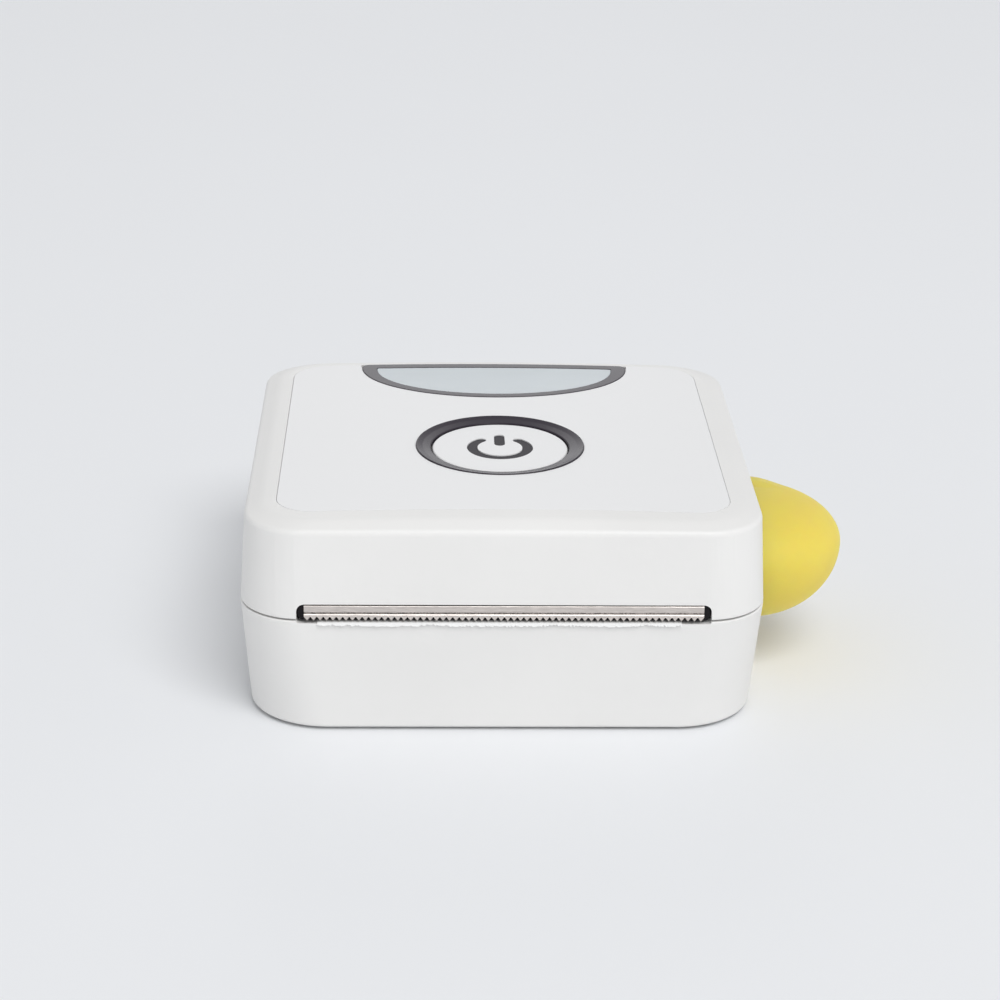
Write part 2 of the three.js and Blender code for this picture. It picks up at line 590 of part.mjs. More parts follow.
// ---- feed mechanism: platen roller, gear train and motor on two steel plates
function gearShape(teeth, firstToothAngle, bore) {
  const { module } = GEAR;
  const pitchRadius = (teeth * module) / 2;
  const flank = [[-1.2, 0.92], [-0.5, 0.78], [0, 0.66], [0.5, 0.48], [0.88, 0.3]];
  const shape = new THREE.Shape();
  for (let tooth = 0; tooth < teeth; tooth += 1) {
    const centre = firstToothAngle + (2 * Math.PI * tooth) / teeth;
    const rising = flank.map(([height, width]) => [height, -width / 2]);
    const falling = flank.map(([height, width]) => [height, width / 2]).reverse();
    [...rising, ...falling].forEach(([height, offset], corner) => {
      const r = pitchRadius + height * module;
      const angle = centre + (2 * offset * module) / r;
      const place = [r * Math.cos(angle), r * Math.sin(angle)];
      if (tooth === 0 && corner === 0) shape.moveTo(...place);
      else shape.lineTo(...place);
    });
  }
  const hole = new THREE.Path();
  hole.absarc(0, 0, bore, 0, 2 * Math.PI, true);
  shape.holes.push(hole);
  return shape;
}

const gearAt = (teeth, firstToothAngle, bore, [x0, x1], centre) =>
  prismX(gearShape(teeth, firstToothAngle, bore), x0, x1, 8).translate([0, centre.x, centre.y]);

const pitchRadius = (teeth) => (teeth * GEAR.module) / 2;
const platenCentre = new THREE.Vector2(PLATEN.y, PLATEN.z);
const motorCentre = new THREE.Vector2(MOTOR.y, MOTOR.z);

// The idler's centre is where both of its centre distances are met, on the lower side.
function idlerPlace() {
  const toMotor = pitchRadius(GEAR.pinion) + pitchRadius(GEAR.idlerLarge);
  const toPlaten = pitchRadius(GEAR.idlerSmall) + pitchRadius(GEAR.platen);
  const line = platenCentre.clone().sub(motorCentre);
  const span = line.length();
  const along = (toMotor ** 2 - toPlaten ** 2 + span ** 2) / (2 * span);
  const aside = Math.sqrt(toMotor ** 2 - along ** 2);
  const unit = line.normalize();
  const lower = new THREE.Vector2(unit.y, -unit.x).multiplyScalar(-aside);
  if (lower.y > 0) lower.negate();
  return motorCentre.clone().addScaledVector(unit, along).add(lower);
}

const idlerCentre = idlerPlace();
const bearing = (from, to) => to.clone().sub(from).angle();
const halfTooth = (teeth) => Math.PI / teeth;
const idlerToPlaten = bearing(idlerCentre, platenCentre);
const idlerToMotor = bearing(idlerCentre, motorCentre);

addPart('platen_shaft', rodX(PLATEN.shaft, -35.8, 32.6, PLATEN.y, PLATEN.z), steel);
addPart('platen_sleeve', cut(
  rodX(PLATEN.radius, -PLATEN.halfWidth, PLATEN.halfWidth, PLATEN.y, PLATEN.z, 32),
  rodX(PLATEN.shaft + 0.15, -40, 40, PLATEN.y, PLATEN.z),
), rubber);
addPart('platen_gear', gearAt(GEAR.platen, idlerToPlaten + Math.PI, PLATEN.shaft + 0.15,
  GEAR_PLANES.inner, platenCentre), gearPlastic);

const idlerBore = 1.15;
addPart('idler_gear', join(
  gearAt(GEAR.idlerSmall, idlerToPlaten + halfTooth(GEAR.idlerSmall), idlerBore,
    GEAR_PLANES.inner, idlerCentre),
  gearAt(GEAR.idlerLarge, idlerToMotor, idlerBore, GEAR_PLANES.outer, idlerCentre),
  cut(
    rodX(2.3, GEAR_PLANES.outer[1] - 0.1, GEAR_PLANES.inner[0] + 0.1, idlerCentre.x, idlerCentre.y),
    rodX(idlerBore, -40, -30, idlerCentre.x, idlerCentre.y, 16),
  ),
), gearPlastic);
addPart('idler_pin', rodX(1, -38.3, -31.4, idlerCentre.x, idlerCentre.y, 16), steel);
addPart('motor_pinion', gearAt(GEAR.pinion, idlerToMotor + Math.PI + halfTooth(GEAR.pinion),
  MOTOR.shaft + 0.15, GEAR_PLANES.outer, motorCentre), gearPlastic);
addPart('motor_shaft', rodX(MOTOR.shaft, -38.2, -31.5, MOTOR.y, MOTOR.z, 16), steel);
addPart('motor_can', cut(
  join(
    rodX(MOTOR.radius, -31.2, -18, MOTOR.y, MOTOR.z, 32),
    rodX(2, -18.1, -17, MOTOR.y, MOTOR.z, 16),
  ),
  rodX(MOTOR.shaft + FIT, -32, -30.9, MOTOR.y, MOTOR.z, 16),
), aluminium);

const plateProfile = (rearY) => roundedRectangle(-37, rearY, 2.8, 17.8, 1.5);
const plateBearing = rodX(2.45, -40, 40, PLATEN.y, PLATEN.z);
addPart('gear_plate', cut(
  prismX(plateProfile(-7), -32.4, -31.6, 4),
  plateBearing,
  rodX(1.15, -40, -30, idlerCentre.x, idlerCentre.y, 16),
  rodX(2, -40, -30, MOTOR.y, MOTOR.z, 16),
), steel);
addPart('bearing_plate', cut(prismX(plateProfile(-26), 30.6, 31.4, 4), plateBearing), steel);
[['left', -32.7, -31.3], ['right', 30.3, 31.7]].forEach(([side, x0, x1]) => {
  const bore = rodX(PLATEN.shaft + 0.08, -40, 40, PLATEN.y, PLATEN.z);
  const bush = cut(rodX(2.3, x0, x1, PLATEN.y, PLATEN.z), bore);
  addPart(`platen_bushing_${side}`, bush, blackPlastic);
});

// ---- power: battery pack and the charging board with its socket
addPart('battery_pack', prismX(roundedRectangle(-21.4, -6.4, 3.2, 12.2, 1.5), -12.5, 21, 4), batteryFoil);
addPart('charge_board', box([-38, -31.6], [9, 25], [5.6, 6.6]), boardGreen);
addPart('usb_socket', join(
  cut(
    prismX(roundedRectangle(12.55, 21.45, 7.4, 10.6, 1.5), -41.1, -33.8, 4),
    prismX(roundedRectangle(12.85, 21.15, 7.7, 10.3, 1.25), -42, -35, 4),
  ),
  box([-39.9, -34.9], [13.7, 20.3], [8.65, 9.35]),
), steel);

// ---- release: the side tab, its slider, the return springs and the lid's keeper
function sideTab() {
  const steps = 9;
  const loops = [tabLoop(TAB.innerX)];
  for (let step = 0; step <= steps; step += 1) {
    const angle = ((0.5 * Math.PI) * Math.min(step, steps - 0.1)) / steps;
    const out = TAB.reach * Math.sin(angle);
    const fold = 1 - THREE.MathUtils.smoothstep(out, 0.6, TAB.foldLength);
    loops.push(tabLoop(TAB.domeX + out, { shrink: Math.cos(angle), fold }));
  }
  return skin(loops);
}

const sliderArm = (y0, y1) => box([33.3, 38], [y0, y1], [16, 18.6]);
addPart('side_tab', sideTab(), yellowSilicone);
addPart('tab_slider', join(
  tabPrism(FLANGE.grow, ...FLANGE.x),
  sliderArm(TAB.y - 5.6, TAB.y - 4.2),
  sliderArm(TAB.y + 4.2, TAB.y + 5.6),
  box([33.3, 33.8], [TAB.y - 5.6, TAB.y + 5.6], [16, 18.6]),
), blackPlastic);
[['front', -9.5], ['rear', 9.5]].forEach(([end, offset]) => {
  const spring = coilSpring(1.7, 0.25, 4, 5.4).rotateY(Math.PI / 2);
  addPart(`tab_spring_${end}`, spring.translate(31.9, TAB.y + offset, 14), steel);
});
addPart('latch_keeper', join(
  box([35.1, 35.9], [TAB.y - 2.4, TAB.y + 2.4], [15.8, 29.6]),
  box([34.1, 35.2], [TAB.y - 2.4, TAB.y + 2.4], [15.8, 16.9]),
), steel);

export default labelMaker;
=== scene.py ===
"""Pocket label maker: the visible surfaces, materials, floor, light and camera.

Shapes are written in millimetres and scaled to metres when a piece is made.
"""
import math
import random

import bmesh
import bpy
from mathutils import Matrix, Vector, noise


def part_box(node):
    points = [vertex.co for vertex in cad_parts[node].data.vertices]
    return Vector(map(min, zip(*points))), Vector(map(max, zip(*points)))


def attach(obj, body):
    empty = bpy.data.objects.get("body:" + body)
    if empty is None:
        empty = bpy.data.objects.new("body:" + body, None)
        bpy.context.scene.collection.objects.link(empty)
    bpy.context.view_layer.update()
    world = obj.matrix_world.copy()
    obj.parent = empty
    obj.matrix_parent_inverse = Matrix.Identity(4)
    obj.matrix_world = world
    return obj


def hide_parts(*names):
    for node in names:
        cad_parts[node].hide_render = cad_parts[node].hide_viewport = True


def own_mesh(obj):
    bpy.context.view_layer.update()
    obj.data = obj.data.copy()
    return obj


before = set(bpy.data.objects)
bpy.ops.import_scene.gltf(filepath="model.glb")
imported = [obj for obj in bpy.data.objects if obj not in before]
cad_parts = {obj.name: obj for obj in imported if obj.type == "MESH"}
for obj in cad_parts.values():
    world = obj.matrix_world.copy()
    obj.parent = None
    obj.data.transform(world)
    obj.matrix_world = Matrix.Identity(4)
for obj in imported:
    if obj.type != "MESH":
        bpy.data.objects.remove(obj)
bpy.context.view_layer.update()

MM = 0.001
TAU = 2 * math.pi


def box_mm(node):
    """Lowest and highest corner of a CAD node, in millimetres."""
    low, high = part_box(node)
    return low / MM, high / MM


# ---------------------------------------------------------------- driving sizes
LID_BOX = box_mm("lid_shell")
PANEL_BOX = box_mm("top_panel")
PIN_BOX = box_mm("hinge_pin")
TAB_BOX = box_mm("side_tab")
FRAME_BOX = box_mm("window_frame")
LENS_BOX = box_mm("window_lens")
RING_BOX = box_mm("button_ring")
CAP_BOX = box_mm("power_button")
CARRIER_BOX = box_mm("tear_bar_carrier")
BAR_BOX = box_mm("tear_bar")
STRIP_BOX = box_mm("paper_strip")
ROLL_BOX = box_mm("paper_roll")
CORE_BOX = box_mm("roll_core")
PAD_BOX = box_mm("base_pad")
SOCKET_BOX = box_mm("usb_socket")

HALF_WIDTH = LID_BOX[1].x
HALF_DEPTH = -LID_BOX[0].y
SEAM_Z = (PIN_BOX[0].z + PIN_BOX[1].z) / 2
SEAM_GAP = 0.3
SEAM_ROUNDING = 0.22
CORNER_RADIUS = 9.8
WALL = 2.0
UNDERSIDE_Z = 0.5
FLOOR_TOP_Z = 2.5
BASE_DRAFT = 1.0

TOP_Z = PANEL_BOX[1].z
CROWN_HALF_SPAN = 35.6
LID_CEILING_Z = 33.2
BEVEL_LOW = (0.8, 34.05)          # inset, height
BEVEL_HIGH = (3.33, 35.57)
RIM_EDGE = (5.75, 35.97)
CROWN_BY_HEIGHT = [(34.05, 0.0), (35.57, 0.54), (35.97, 0.67)]
RECESS_Z = 34.6
PANEL_GAP = 0.2
PANEL_GROOVE = 0.06
PANEL_RADIUS = 6.0

HINGE_Y = (PIN_BOX[0].y + PIN_BOX[1].y) / 2
KNUCKLE_RADIUS = 2.0
KNUCKLE_CLEARANCE = 0.3
KNUCKLE_REAR_Y = 43.2
PIN_RADIUS = (PIN_BOX[1].z - PIN_BOX[0].z) / 2
BASE_KNUCKLES = [(-26, -18), (-4, 4), (18, 26)]
LID_KNUCKLES = [(-17.7, -4.3), (4.3, 17.7)]

BUTTON = Vector(((RING_BOX[0].x + RING_BOX[1].x) / 2, (RING_BOX[0].y + RING_BOX[1].y) / 2))
RING_RADIUS = (RING_BOX[1].x - RING_BOX[0].x) / 2
CAP_RADIUS = 11.2
CAP_HOLE_RADIUS = 11.6
CAP_TOP_Z = CAP_BOX[1].z
SLOT_HALF_WIDTH = CARRIER_BOX[1].x + 0.15
SLOT_TOP_Z = CARRIER_BOX[1].z + 0.15
SLOT_FLOOR_Z = 19.05
SLOT_BACK_Y = -37                 # how far in the slot's cutters reach

BAR_TEETH = 62
BAR_GROOVE_Z = 20.88
BAR_ROOT_Z = 20.2
TOOTH_TIP = (0.46, 0.54)          # shares of a pitch
TOOTH_ROOT = (0.97, 1.03)
PAPER_Z = 19.275
LENS_CORNER = 0.35
TAB_FOLD = (0.65, 6.8, 74.0)      # height, length and edge of the fold, the last in degrees
TAB_CENTRE = Vector((42.0, -7.7, 20.2))
TAB_REACH = TAB_BOX[1].x - TAB_CENTRE.x
TAB_RADII = (15.1, 8.3, 13.0)     # along the body, above the centre, below the centre
WIRE_RADIUS = 0.25

SCREW_PLACES = [(-24, -24.2), (24, -24.2), (-34.3, 30.3), (34.3, 30.3)]
BOARD_POSTS = [(-27.5, -22.5), (27.5, -22.5), (-27.5, -0.5), (27.5, -0.5)]
BOARD_TOP_Z = box_mm("main_board")[1].z
BOARD_CHIPS = [                   # x, y, half width, half depth, height
    (9, -12, 3.6, 3.6, 1.0), (-8, -9, 2.6, 2.0, 1.1), (19, -14, 1.8, 1.5, 0.8),
    (-17, -17, 1.9, 1.5, 0.8), (21, -5, 1.6, 2.4, 0.9),
]
BOARD_CONNECTORS = [(0, -20.4, 10.4, 0.9), (-21, -3.4, 3.0, 1.4)]
BOARD_SMALL_PARTS = 34
HEAD_SPRING_PLACES = [(-17, -32), (17, -32)]
PAD_GROOVES = 9


# ---------------------------------------------------------------- closed meshes and booleans
def closed_mesh(points, faces):
    """A mesh whose faces all look outwards."""
    mesh = bpy.data.meshes.new("solid")
    mesh.from_pydata(points, [], faces)
    mesh.validate()
    solid = bmesh.new()
    solid.from_mesh(mesh)
    bmesh.ops.recalc_face_normals(solid, faces=solid.faces)
    solid.to_mesh(mesh)
    solid.free()
    return mesh


def skin(loops):
    """A closed mesh through loops that all have the same number of points."""
    count = len(loops[0])
    points = [point for loop in loops for point in loop]
    faces = [list(range(count))[::-1], [(len(loops) - 1) * count + i for i in range(count)]]
    for level in range(len(loops) - 1):
        first = level * count
        for i in range(count):
            j = (i + 1) % count
            faces.append((first + i, first + j, first + count + j, first + count + i))
    return closed_mesh(points, faces)


def combine(mesh, tools, operation):
    """The mesh joined with, or cut by, every tool in turn."""
    target = bpy.data.objects.new("target", mesh)
    bpy.context.scene.collection.objects.link(target)
    for tool_mesh in tools:
        tool = bpy.data.objects.new("tool", tool_mesh)
        bpy.context.scene.collection.objects.link(tool)
        modifier = target.modifiers.new("combine", "BOOLEAN")
        modifier.operation = operation
        modifier.solver = "MANIFOLD"
        modifier.object = tool
        bpy.context.view_layer.update()
        graph = bpy.context.evaluated_depsgraph_get()
        result = bpy.data.meshes.new_from_object(target.evaluated_get(graph))
        target.modifiers.clear()
        target.data = result
        bpy.data.objects.remove(tool)
    result = target.data
    bpy.data.objects.remove(target)
    return result


def join(mesh, *tools):
    return combine(mesh, tools, "UNION")


def cut(mesh, *tools):
    return combine(mesh, tools, "DIFFERENCE")


# ---------------------------------------------------------------- outlines, each a function of its offset
def arc(cu, cv, radius_u, radius_v, start, end, steps):
    return [(cu + radius_u * math.cos(start + (end - start) * i / steps),
             cv + radius_v * math.sin(start + (end - start) * i / steps)) for i in range(steps + 1)]


def rounded_rectangle(u0, u1, v0, v1, radius, steps=10):
    def outline(grow=0.0):
        quarter = TAU / 4
        corners = [(u1 - radius, v0 + radius, 3), (u1 - radius, v1 - radius, 0),
                   (u0 + radius, v1 - radius, 1), (u0 + radius, v0 + radius, 2)]
        points = []
        for cu, cv, turn in corners:
            reach = radius + grow
            points += arc(cu, cv, reach, reach, turn * quarter, (turn + 1) * quarter, steps)
        return points
    return outline


def ellipse(cu, cv, radius_u, radius_v, steps=96):
    def outline(grow=0.0):
        return arc(cu, cv, radius_u + grow, radius_v + grow, 0, TAU, steps)[:-1]
    return outline


def circle(cu, cv, radius, steps=64):
    return ellipse(cu, cv, radius, radius, steps)


def half_moon(box, margin=0.0, corner=1.2, steps=96):
    """Straight at the rear and half an ellipse in front, inside a node's box."""
    low, high = box
    span = high.x + margin
    side_y = high.y + margin - corner

    def outline(grow=0.0):
        front = arc(0, side_y, span + grow, side_y - low.y + margin + grow, TAU / 2, TAU, steps)
        right = arc(span - corner, side_y, corner + grow, corner + grow, 0, TAU / 4, 6)
        left = arc(corner - span, side_y, corner + grow, corner + grow, TAU / 4, TAU / 2, 6)
        return front + right[1:] + left[:-1]
    return outline


AXES = {
    "X": lambda u, v, w: (w, u, v),
    "Y": lambda u, v, w: (u, w, v),
    "Z": lambda u, v, w: (u, v, w),
}


def sweep(outline, axis, stations):
    """A closed mesh from an outline's offsets at stations (place, offset) along an axis."""
    place = AXES[axis]
    return skin([[place(u, v, where) for u, v in outline(grow)] for where, grow in stations])


def prism(outline, axis, low, high):
    return sweep(outline, axis, [(low, 0.0), (high, 0.0)])


def rounded_end(end, radius, outward=1, steps=4):
    """Stations that round the edge over as a solid comes to its end."""
    angles = [TAU / 4 * i / steps for i in range(steps + 1)]
    return [(end - outward * radius * (1 - math.sin(a)), -radius * (1 - math.cos(a))) for a in angles]


def flared_end(face, radius, outward=1, steps=4):
    """Stations that round the mouth of an opening as its cutter leaves the face."""
    flare = [(where, -grow) for where, grow in rounded_end(face, radius, outward, steps)]
    return flare + [(face + outward * 2, radius)]


def pillow_prism(outline, axis, low, high, radius):
    """A prism with both of its end edges rounded."""
    start = rounded_end(low, radius, outward=-1)[::-1]
    return sweep(outline, axis, start + rounded_end(high, radius))


def rod(axis, radius, low, high, cu, cv, steps=32):
    return prism(circle(cu, cv, radius, steps), axis, low, high)


def lathe(profile, centre, steps=96):
    """A closed ring turned about a vertical axis from a closed (radius, height) profile."""
    points, faces = [], []
    count = len(profile)
    for step in range(steps):
        angle = TAU * step / steps
        points += [(centre.x + r * math.cos(angle), centre.y + r * math.sin(angle), z) for r, z in profile]
    for step in range(steps):
        a, b = step * count, (step + 1) % steps * count
        for i in range(count):
            j = (i + 1) % count
            faces.append((a + i, b + i, b + j, a + j))
    return closed_mesh(points, faces)


def softened(path, amount, steps=4):
    """An open path of equal-length tuples with each inner corner replaced by a small curve."""
    result = [path[0]]
    for before, corner, after in zip(path, path[1:], path[2:]):
        into = Vector(before[:2]) - Vector(corner[:2])
        out = Vector(after[:2]) - Vector(corner[:2])
        share_in = min(0.45, amount / into.length)
        share_out = min(0.45, amount / out.length)
        start = [c + (b - c) * share_in for b, c in zip(before, corner)]
        end = [c + (a - c) * share_out for a, c in zip(after, corner)]
        for i in range(steps + 1):
            t = i / steps
            result.append(tuple(s * (1 - t) ** 2 + 2 * c * t * (1 - t) + e * t * t
                                for s, c, e in zip(start, corner, end)))
    result.append(path[-1])
    return result


def body_loft(levels, corner_steps=20):
    """A closed skin through (inset, z, corner radius) levels of the body's rounded square."""
    loops = []
    for inset, z, radius in levels:
        shape = rounded_rectangle(inset - HALF_WIDTH, HALF_WIDTH - inset,
                                  inset - HALF_DEPTH, HALF_DEPTH - inset, radius, corner_steps)
        loops.append([(x, y, z) for x, y in shape()])
    return skin(loops)


def crown(mesh, columns=28):
    """Bends the top down to each side, by an amount that grows with the height."""
    surface = bmesh.new()
    surface.from_mesh(mesh)
    for column in range(1, columns):
        x = HALF_WIDTH * (2 * column / columns - 1)
        everything = surface.verts[:] + surface.edges[:] + surface.faces[:]
        bmesh.ops.bisect_plane(surface, geom=everything, dist=1e-5,
                               plane_co=(x, 0, 0), plane_no=(1, 0, 0))
    for vertex in surface.verts:
        vertex.co.z -= crown_drop(vertex.co.x, vertex.co.z)
    surface.to_mesh(mesh)
    surface.free()
    return mesh


def crown_drop(x, z):
    (z0, d0), (z1, d1), (z2, d2) = CROWN_BY_HEIGHT
    if z <= z1:
        depth = d0 + (d1 - d0) * max(0.0, (z - z0) / (z1 - z0))
    else:
        depth = d1 + (d2 - d1) * min(1.0, (z - z1) / (z2 - z1))
    return depth * (x / CROWN_HALF_SPAN) ** 2


# ---------------------------------------------------------------- materials
def principled(name, colour, roughness, metallic=0.0, **sockets):
    """A new material whose shader has these even values on its own sockets."""
    material = bpy.data.materials.new(name)
    material.use_nodes = True
    shader = material.node_tree.nodes["Principled BSDF"]
    shader.inputs["Base Color"].default_value = (*colour, 1.0)
    shader.inputs["Roughness"].default_value = roughness
    shader.inputs["Metallic"].default_value = metallic
    for socket, value in sockets.items():
        shader.inputs[socket.replace("_", " ")].default_value = value
    return material


def add_node(material, kind, **settings):
    node = material.node_tree.nodes.new(kind)
    for name, value in settings.items():
        if name in node.inputs:
            node.inputs[name].default_value = value
        else:
            setattr(node, name, value)
    return node


def link(material, source, target):
    material.node_tree.links.new(source, target)


def shader_input(material, name):
    return material.node_tree.nodes["Principled BSDF"].inputs[name]


def map_range(material, source, from_low, from_high, to_low, to_high):
    node = add_node(material, "ShaderNodeMapRange")
    limits = {"From Min": from_low, "From Max": from_high, "To Min": to_low, "To Max": to_high}
    for name, value in limits.items():
        node.inputs[name].default_value = value
    link(material, source, node.inputs["Value"])
    return node.outputs["Result"]


def calculate(material, operation, *terms):
    """The result of a maths node whose terms are numbers or other nodes' outputs."""
    node = add_node(material, "ShaderNodeMath", operation=operation)
    for socket, term in zip(node.inputs, terms):
        if isinstance(term, float):
            socket.default_value = term
        else:
            link(material, term, socket)
    return node.outputs["Value"]


def noise_field(material, scale, stretch=(1, 1, 1), detail=3.0):
    """Noise that is fixed to the piece: scale counts features to a metre."""
    place = add_node(material, "ShaderNodeTexCoord")
    mapping = add_node(material, "ShaderNodeMapping")
    mapping.inputs["Scale"].default_value = stretch
    field = add_node(material, "ShaderNodeTexNoise", Scale=scale, Detail=detail)
    link(material, place.outputs["Object"], mapping.inputs["Vector"])
    link(material, mapping.outputs["Vector"], field.inputs["Vector"])
    return field.outputs["Fac"]


def vary_colour(material, field, swing):
    """Lets the base colour drift by a share of itself."""
    target = shader_input(material, "Base Color")
    base = target.default_value[:3]
    ramp = add_node(material, "ShaderNodeValToRGB")
    ramp.color_ramp.elements[0].position = 0.3
    ramp.color_ramp.elements[1].position = 0.7
    ramp.color_ramp.elements[0].color = (*[c * (1 - swing) for c in base], 1)
    ramp.color_ramp.elements[1].color = (*[min(1.0, c * (1 + swing)) for c in base], 1)
    link(material, field, ramp.inputs["Fac"])
    link(material, ramp.outputs["Color"], target)


def vary_roughness(material, field, swing):
    roughness = shader_input(material, "Roughness")
    middle = roughness.default_value
    link(material, map_range(material, field, 0.3, 0.7, middle - swing, middle + swing), roughness)


def add_relief(material, field, depth, strength=1.0):
    """Bump of a depth in millimetres."""
    bump = add_node(material, "ShaderNodeBump", Strength=strength, Distance=depth * MM)
    link(material, field, bump.inputs["Height"])
    link(material, bump.outputs["Normal"], shader_input(material, "Normal"))


def moulded_plastic(name, colour, roughness, grain=5200.0, depth=0.006, tint=0.012, **sockets):
    """Injection-moulded plastic: a fine sparked grain and a faint drift of tone."""
    material = principled(name, colour, roughness, **sockets)
    fine = noise_field(material, grain, detail=2.0)
    broad = noise_field(material, 45.0, detail=4.0)
    vary_colour(material, broad, tint)
    vary_roughness(material, broad, 0.03)
    add_relief(material, fine, depth)
    return material


def brushed_metal(name, colour, roughness, stretch, depth=0.004, tint=0.12, **sockets):
    """Metal with fine parallel scratches; stretch is small along the brushing."""
    material = principled(name, colour, roughness, metallic=1.0, **sockets)
    scratches = noise_field(material, 6000.0, stretch, detail=4.0)
    broad = noise_field(material, 160.0, detail=3.0)
    vary_colour(material, scratches, tint)
    vary_roughness(material, broad, 0.06)
    add_relief(material, scratches, depth)
    return material


WHITE = moulded_plastic("white_abs", (0.785, 0.778, 0.762), 0.42)
PANEL_WHITE = moulded_plastic("panel_abs", (0.805, 0.805, 0.805), 0.48, depth=0.003)
TRIM = moulded_plastic("grey_trim", (0.036, 0.030, 0.040), 0.24, depth=0.002, tint=0.05,
                       Specular_IOR_Level=0.2)
MARK = moulded_plastic("mark_grey", (0.045, 0.042, 0.048), 0.6, depth=0.004, tint=0.05,
                       Specular_IOR_Level=0.25)
BLACK = moulded_plastic("black_abs", (0.006, 0.005, 0.0065), 0.6, depth=0.005, tint=0.1,
                        Specular_IOR_Level=0.2)
TRAY = moulded_plastic("tray_abs", (0.60, 0.61, 0.62), 0.5)
ACETAL = moulded_plastic("acetal", (0.74, 0.70, 0.58), 0.38, depth=0.003, tint=0.03)
SILICONE = moulded_plastic("yellow_silicone", (0.705, 0.557, 0.105), 0.62, grain=3800.0, depth=0.004,
                           tint=0.02, Specular_IOR_Level=0.3,
                           Subsurface_Weight=0.9, Subsurface_Scale=0.025,
                           Subsurface_Radius=(1.0, 0.7, 0.15))
RUBBER = moulded_plastic("black_rubber", (0.022, 0.022, 0.024), 0.75, grain=2600.0, depth=0.02, tint=0.15)
CERAMIC = moulded_plastic("glazed_ceramic", (0.72, 0.70, 0.64), 0.2, depth=0.001)
KAPTON = moulded_plastic("film_ribbon", (0.50, 0.27, 0.05), 0.25, depth=0.002)
STEEL = brushed_metal("brushed_steel", (0.65, 0.60, 0.565), 0.36, (0.12, 1, 1))
BRIGHT_STEEL = brushed_metal("bright_steel", (0.66, 0.65, 0.63), 0.25, (1, 1, 1), depth=0.002, tint=0.04)
PLATE_STEEL = brushed_metal("plate_steel", (0.52, 0.52, 0.52), 0.36, (1, 0.03, 1))
ALUMINIUM = brushed_metal("aluminium", (0.68, 0.69, 0.70), 0.34, (0.03, 1, 1))
FOIL = brushed_metal("battery_foil", (0.42, 0.45, 0.50), 0.38, (1, 1, 1), depth=0.05, tint=0.1)


def paper(name, colour, fibre_depth):
    material = principled(name, colour, 0.85)
    fibres = noise_field(material, 1800.0, (1, 0.4, 1), detail=6.0)
    vary_colour(material, fibres, 0.02)
    add_relief(material, fibres, fibre_depth)
    return material


def wound_paper(name, colour, radians_per_metre):
    """Paper wound on the roll: its ends show fine rings about the axis, one to each 2 pi radians."""
    axis = (ROLL_BOX[0] + ROLL_BOX[1]) / 2
    material = principled(name, colour, 0.85)
    place = add_node(material, "ShaderNodeTexCoord")
    offset = add_node(material, "ShaderNodeMapping")
    offset.inputs["Location"].default_value = (0, -axis.y * MM, -axis.z * MM)
    offset.inputs["Scale"].default_value = (0, 1, 1)
    distance = add_node(material, "ShaderNodeVectorMath", operation="LENGTH")
    link(material, place.outputs["Object"], offset.inputs["Vector"])
    link(material, offset.outputs["Vector"], distance.inputs[0])
    turns = calculate(material, "MULTIPLY", distance.outputs["Value"], radians_per_metre)
    rings = map_range(material, calculate(material, "SINE", turns), -1, 1, 0, 1)
    vary_colour(material, rings, 0.05)
    add_relief(material, rings, 0.03)
    return material


PAPER = paper("thermal_paper", (0.84, 0.84, 0.83), 0.01)
CARD = wound_paper("kraft_card", (0.42, 0.29, 0.16), 16000.0)
ROLL_PAPER = wound_paper("wound_paper", (0.84, 0.84, 0.82), 9000.0)


def window_plastic():
    """Smoked, lightly frosted plastic, which lets the roll below show dimly."""
    material = principled("window_plastic", (0.625, 0.68, 0.71), 0.14, Alpha=0.72)
    haze = noise_field(material, 90.0, detail=2.0)
    vary_colour(material, haze, 0.02)
    vary_roughness(material, haze, 0.02)
    return material


def circuit_board():
    """Solder mask with copper tracks just showing through it."""
    material = principled("circuit_board", (0.010, 0.075, 0.030), 0.32)
    place = add_node(material, "ShaderNodeTexCoord")
    tracks = add_node(material, "ShaderNodeTexBrick", Scale=520.0, offset=0.5)
    tracks.inputs["Color1"].default_value = (0.010, 0.075, 0.030, 1)
    tracks.inputs["Color2"].default_value = (0.012, 0.082, 0.034, 1)
    tracks.inputs["Mortar"].default_value = (0.018, 0.11, 0.045, 1)
    tracks.inputs["Mortar Size"].default_value = 0.03
    link(material, place.outputs["Object"], tracks.inputs["Vector"])
    link(material, tracks.outputs["Color"], shader_input(material, "Base Color"))
    add_relief(material, tracks.outputs["Fac"], 0.02)
    return material


def paint_groove_shade(material, middle, reach, colour):
    """Painted shade in a groove: dark specks within a reach of one height, both in millimetres."""
    base = shader_input(material, "Base Color")
    unshaded = base.links[0].from_socket
    place = add_node(material, "ShaderNodeTexCoord")
    part = add_node(material, "ShaderNodeSeparateXYZ")
    link(material, place.outputs["Object"], part.inputs["Vector"])
    away = calculate(material, "ABSOLUTE", calculate(material, "SUBTRACT", part.outputs["Z"], middle * MM))
    band = map_range(material, away, 0, reach * MM, 1, 0)
    specks = map_range(material, noise_field(material, 3200.0, detail=2.0), 0.42, 0.58, 0.25, 1)
    blend = add_node(material, "ShaderNodeMixRGB")
    blend.inputs["Color2"].default_value = (*colour, 1)
    link(material, calculate(material, "MULTIPLY", band, specks), blend.inputs["Fac"])
    link(material, unshaded, blend.inputs["Color1"])
    link(material, blend.outputs["Color"], base)


# Painted shade: dark specks along the tear bar's groove stand in for the shade in its fold.
paint_groove_shade(STEEL, BAR_GROOVE_Z, 0.22, (0.05, 0.04, 0.035))
WINDOW = window_plastic()
BOARD = circuit_board()


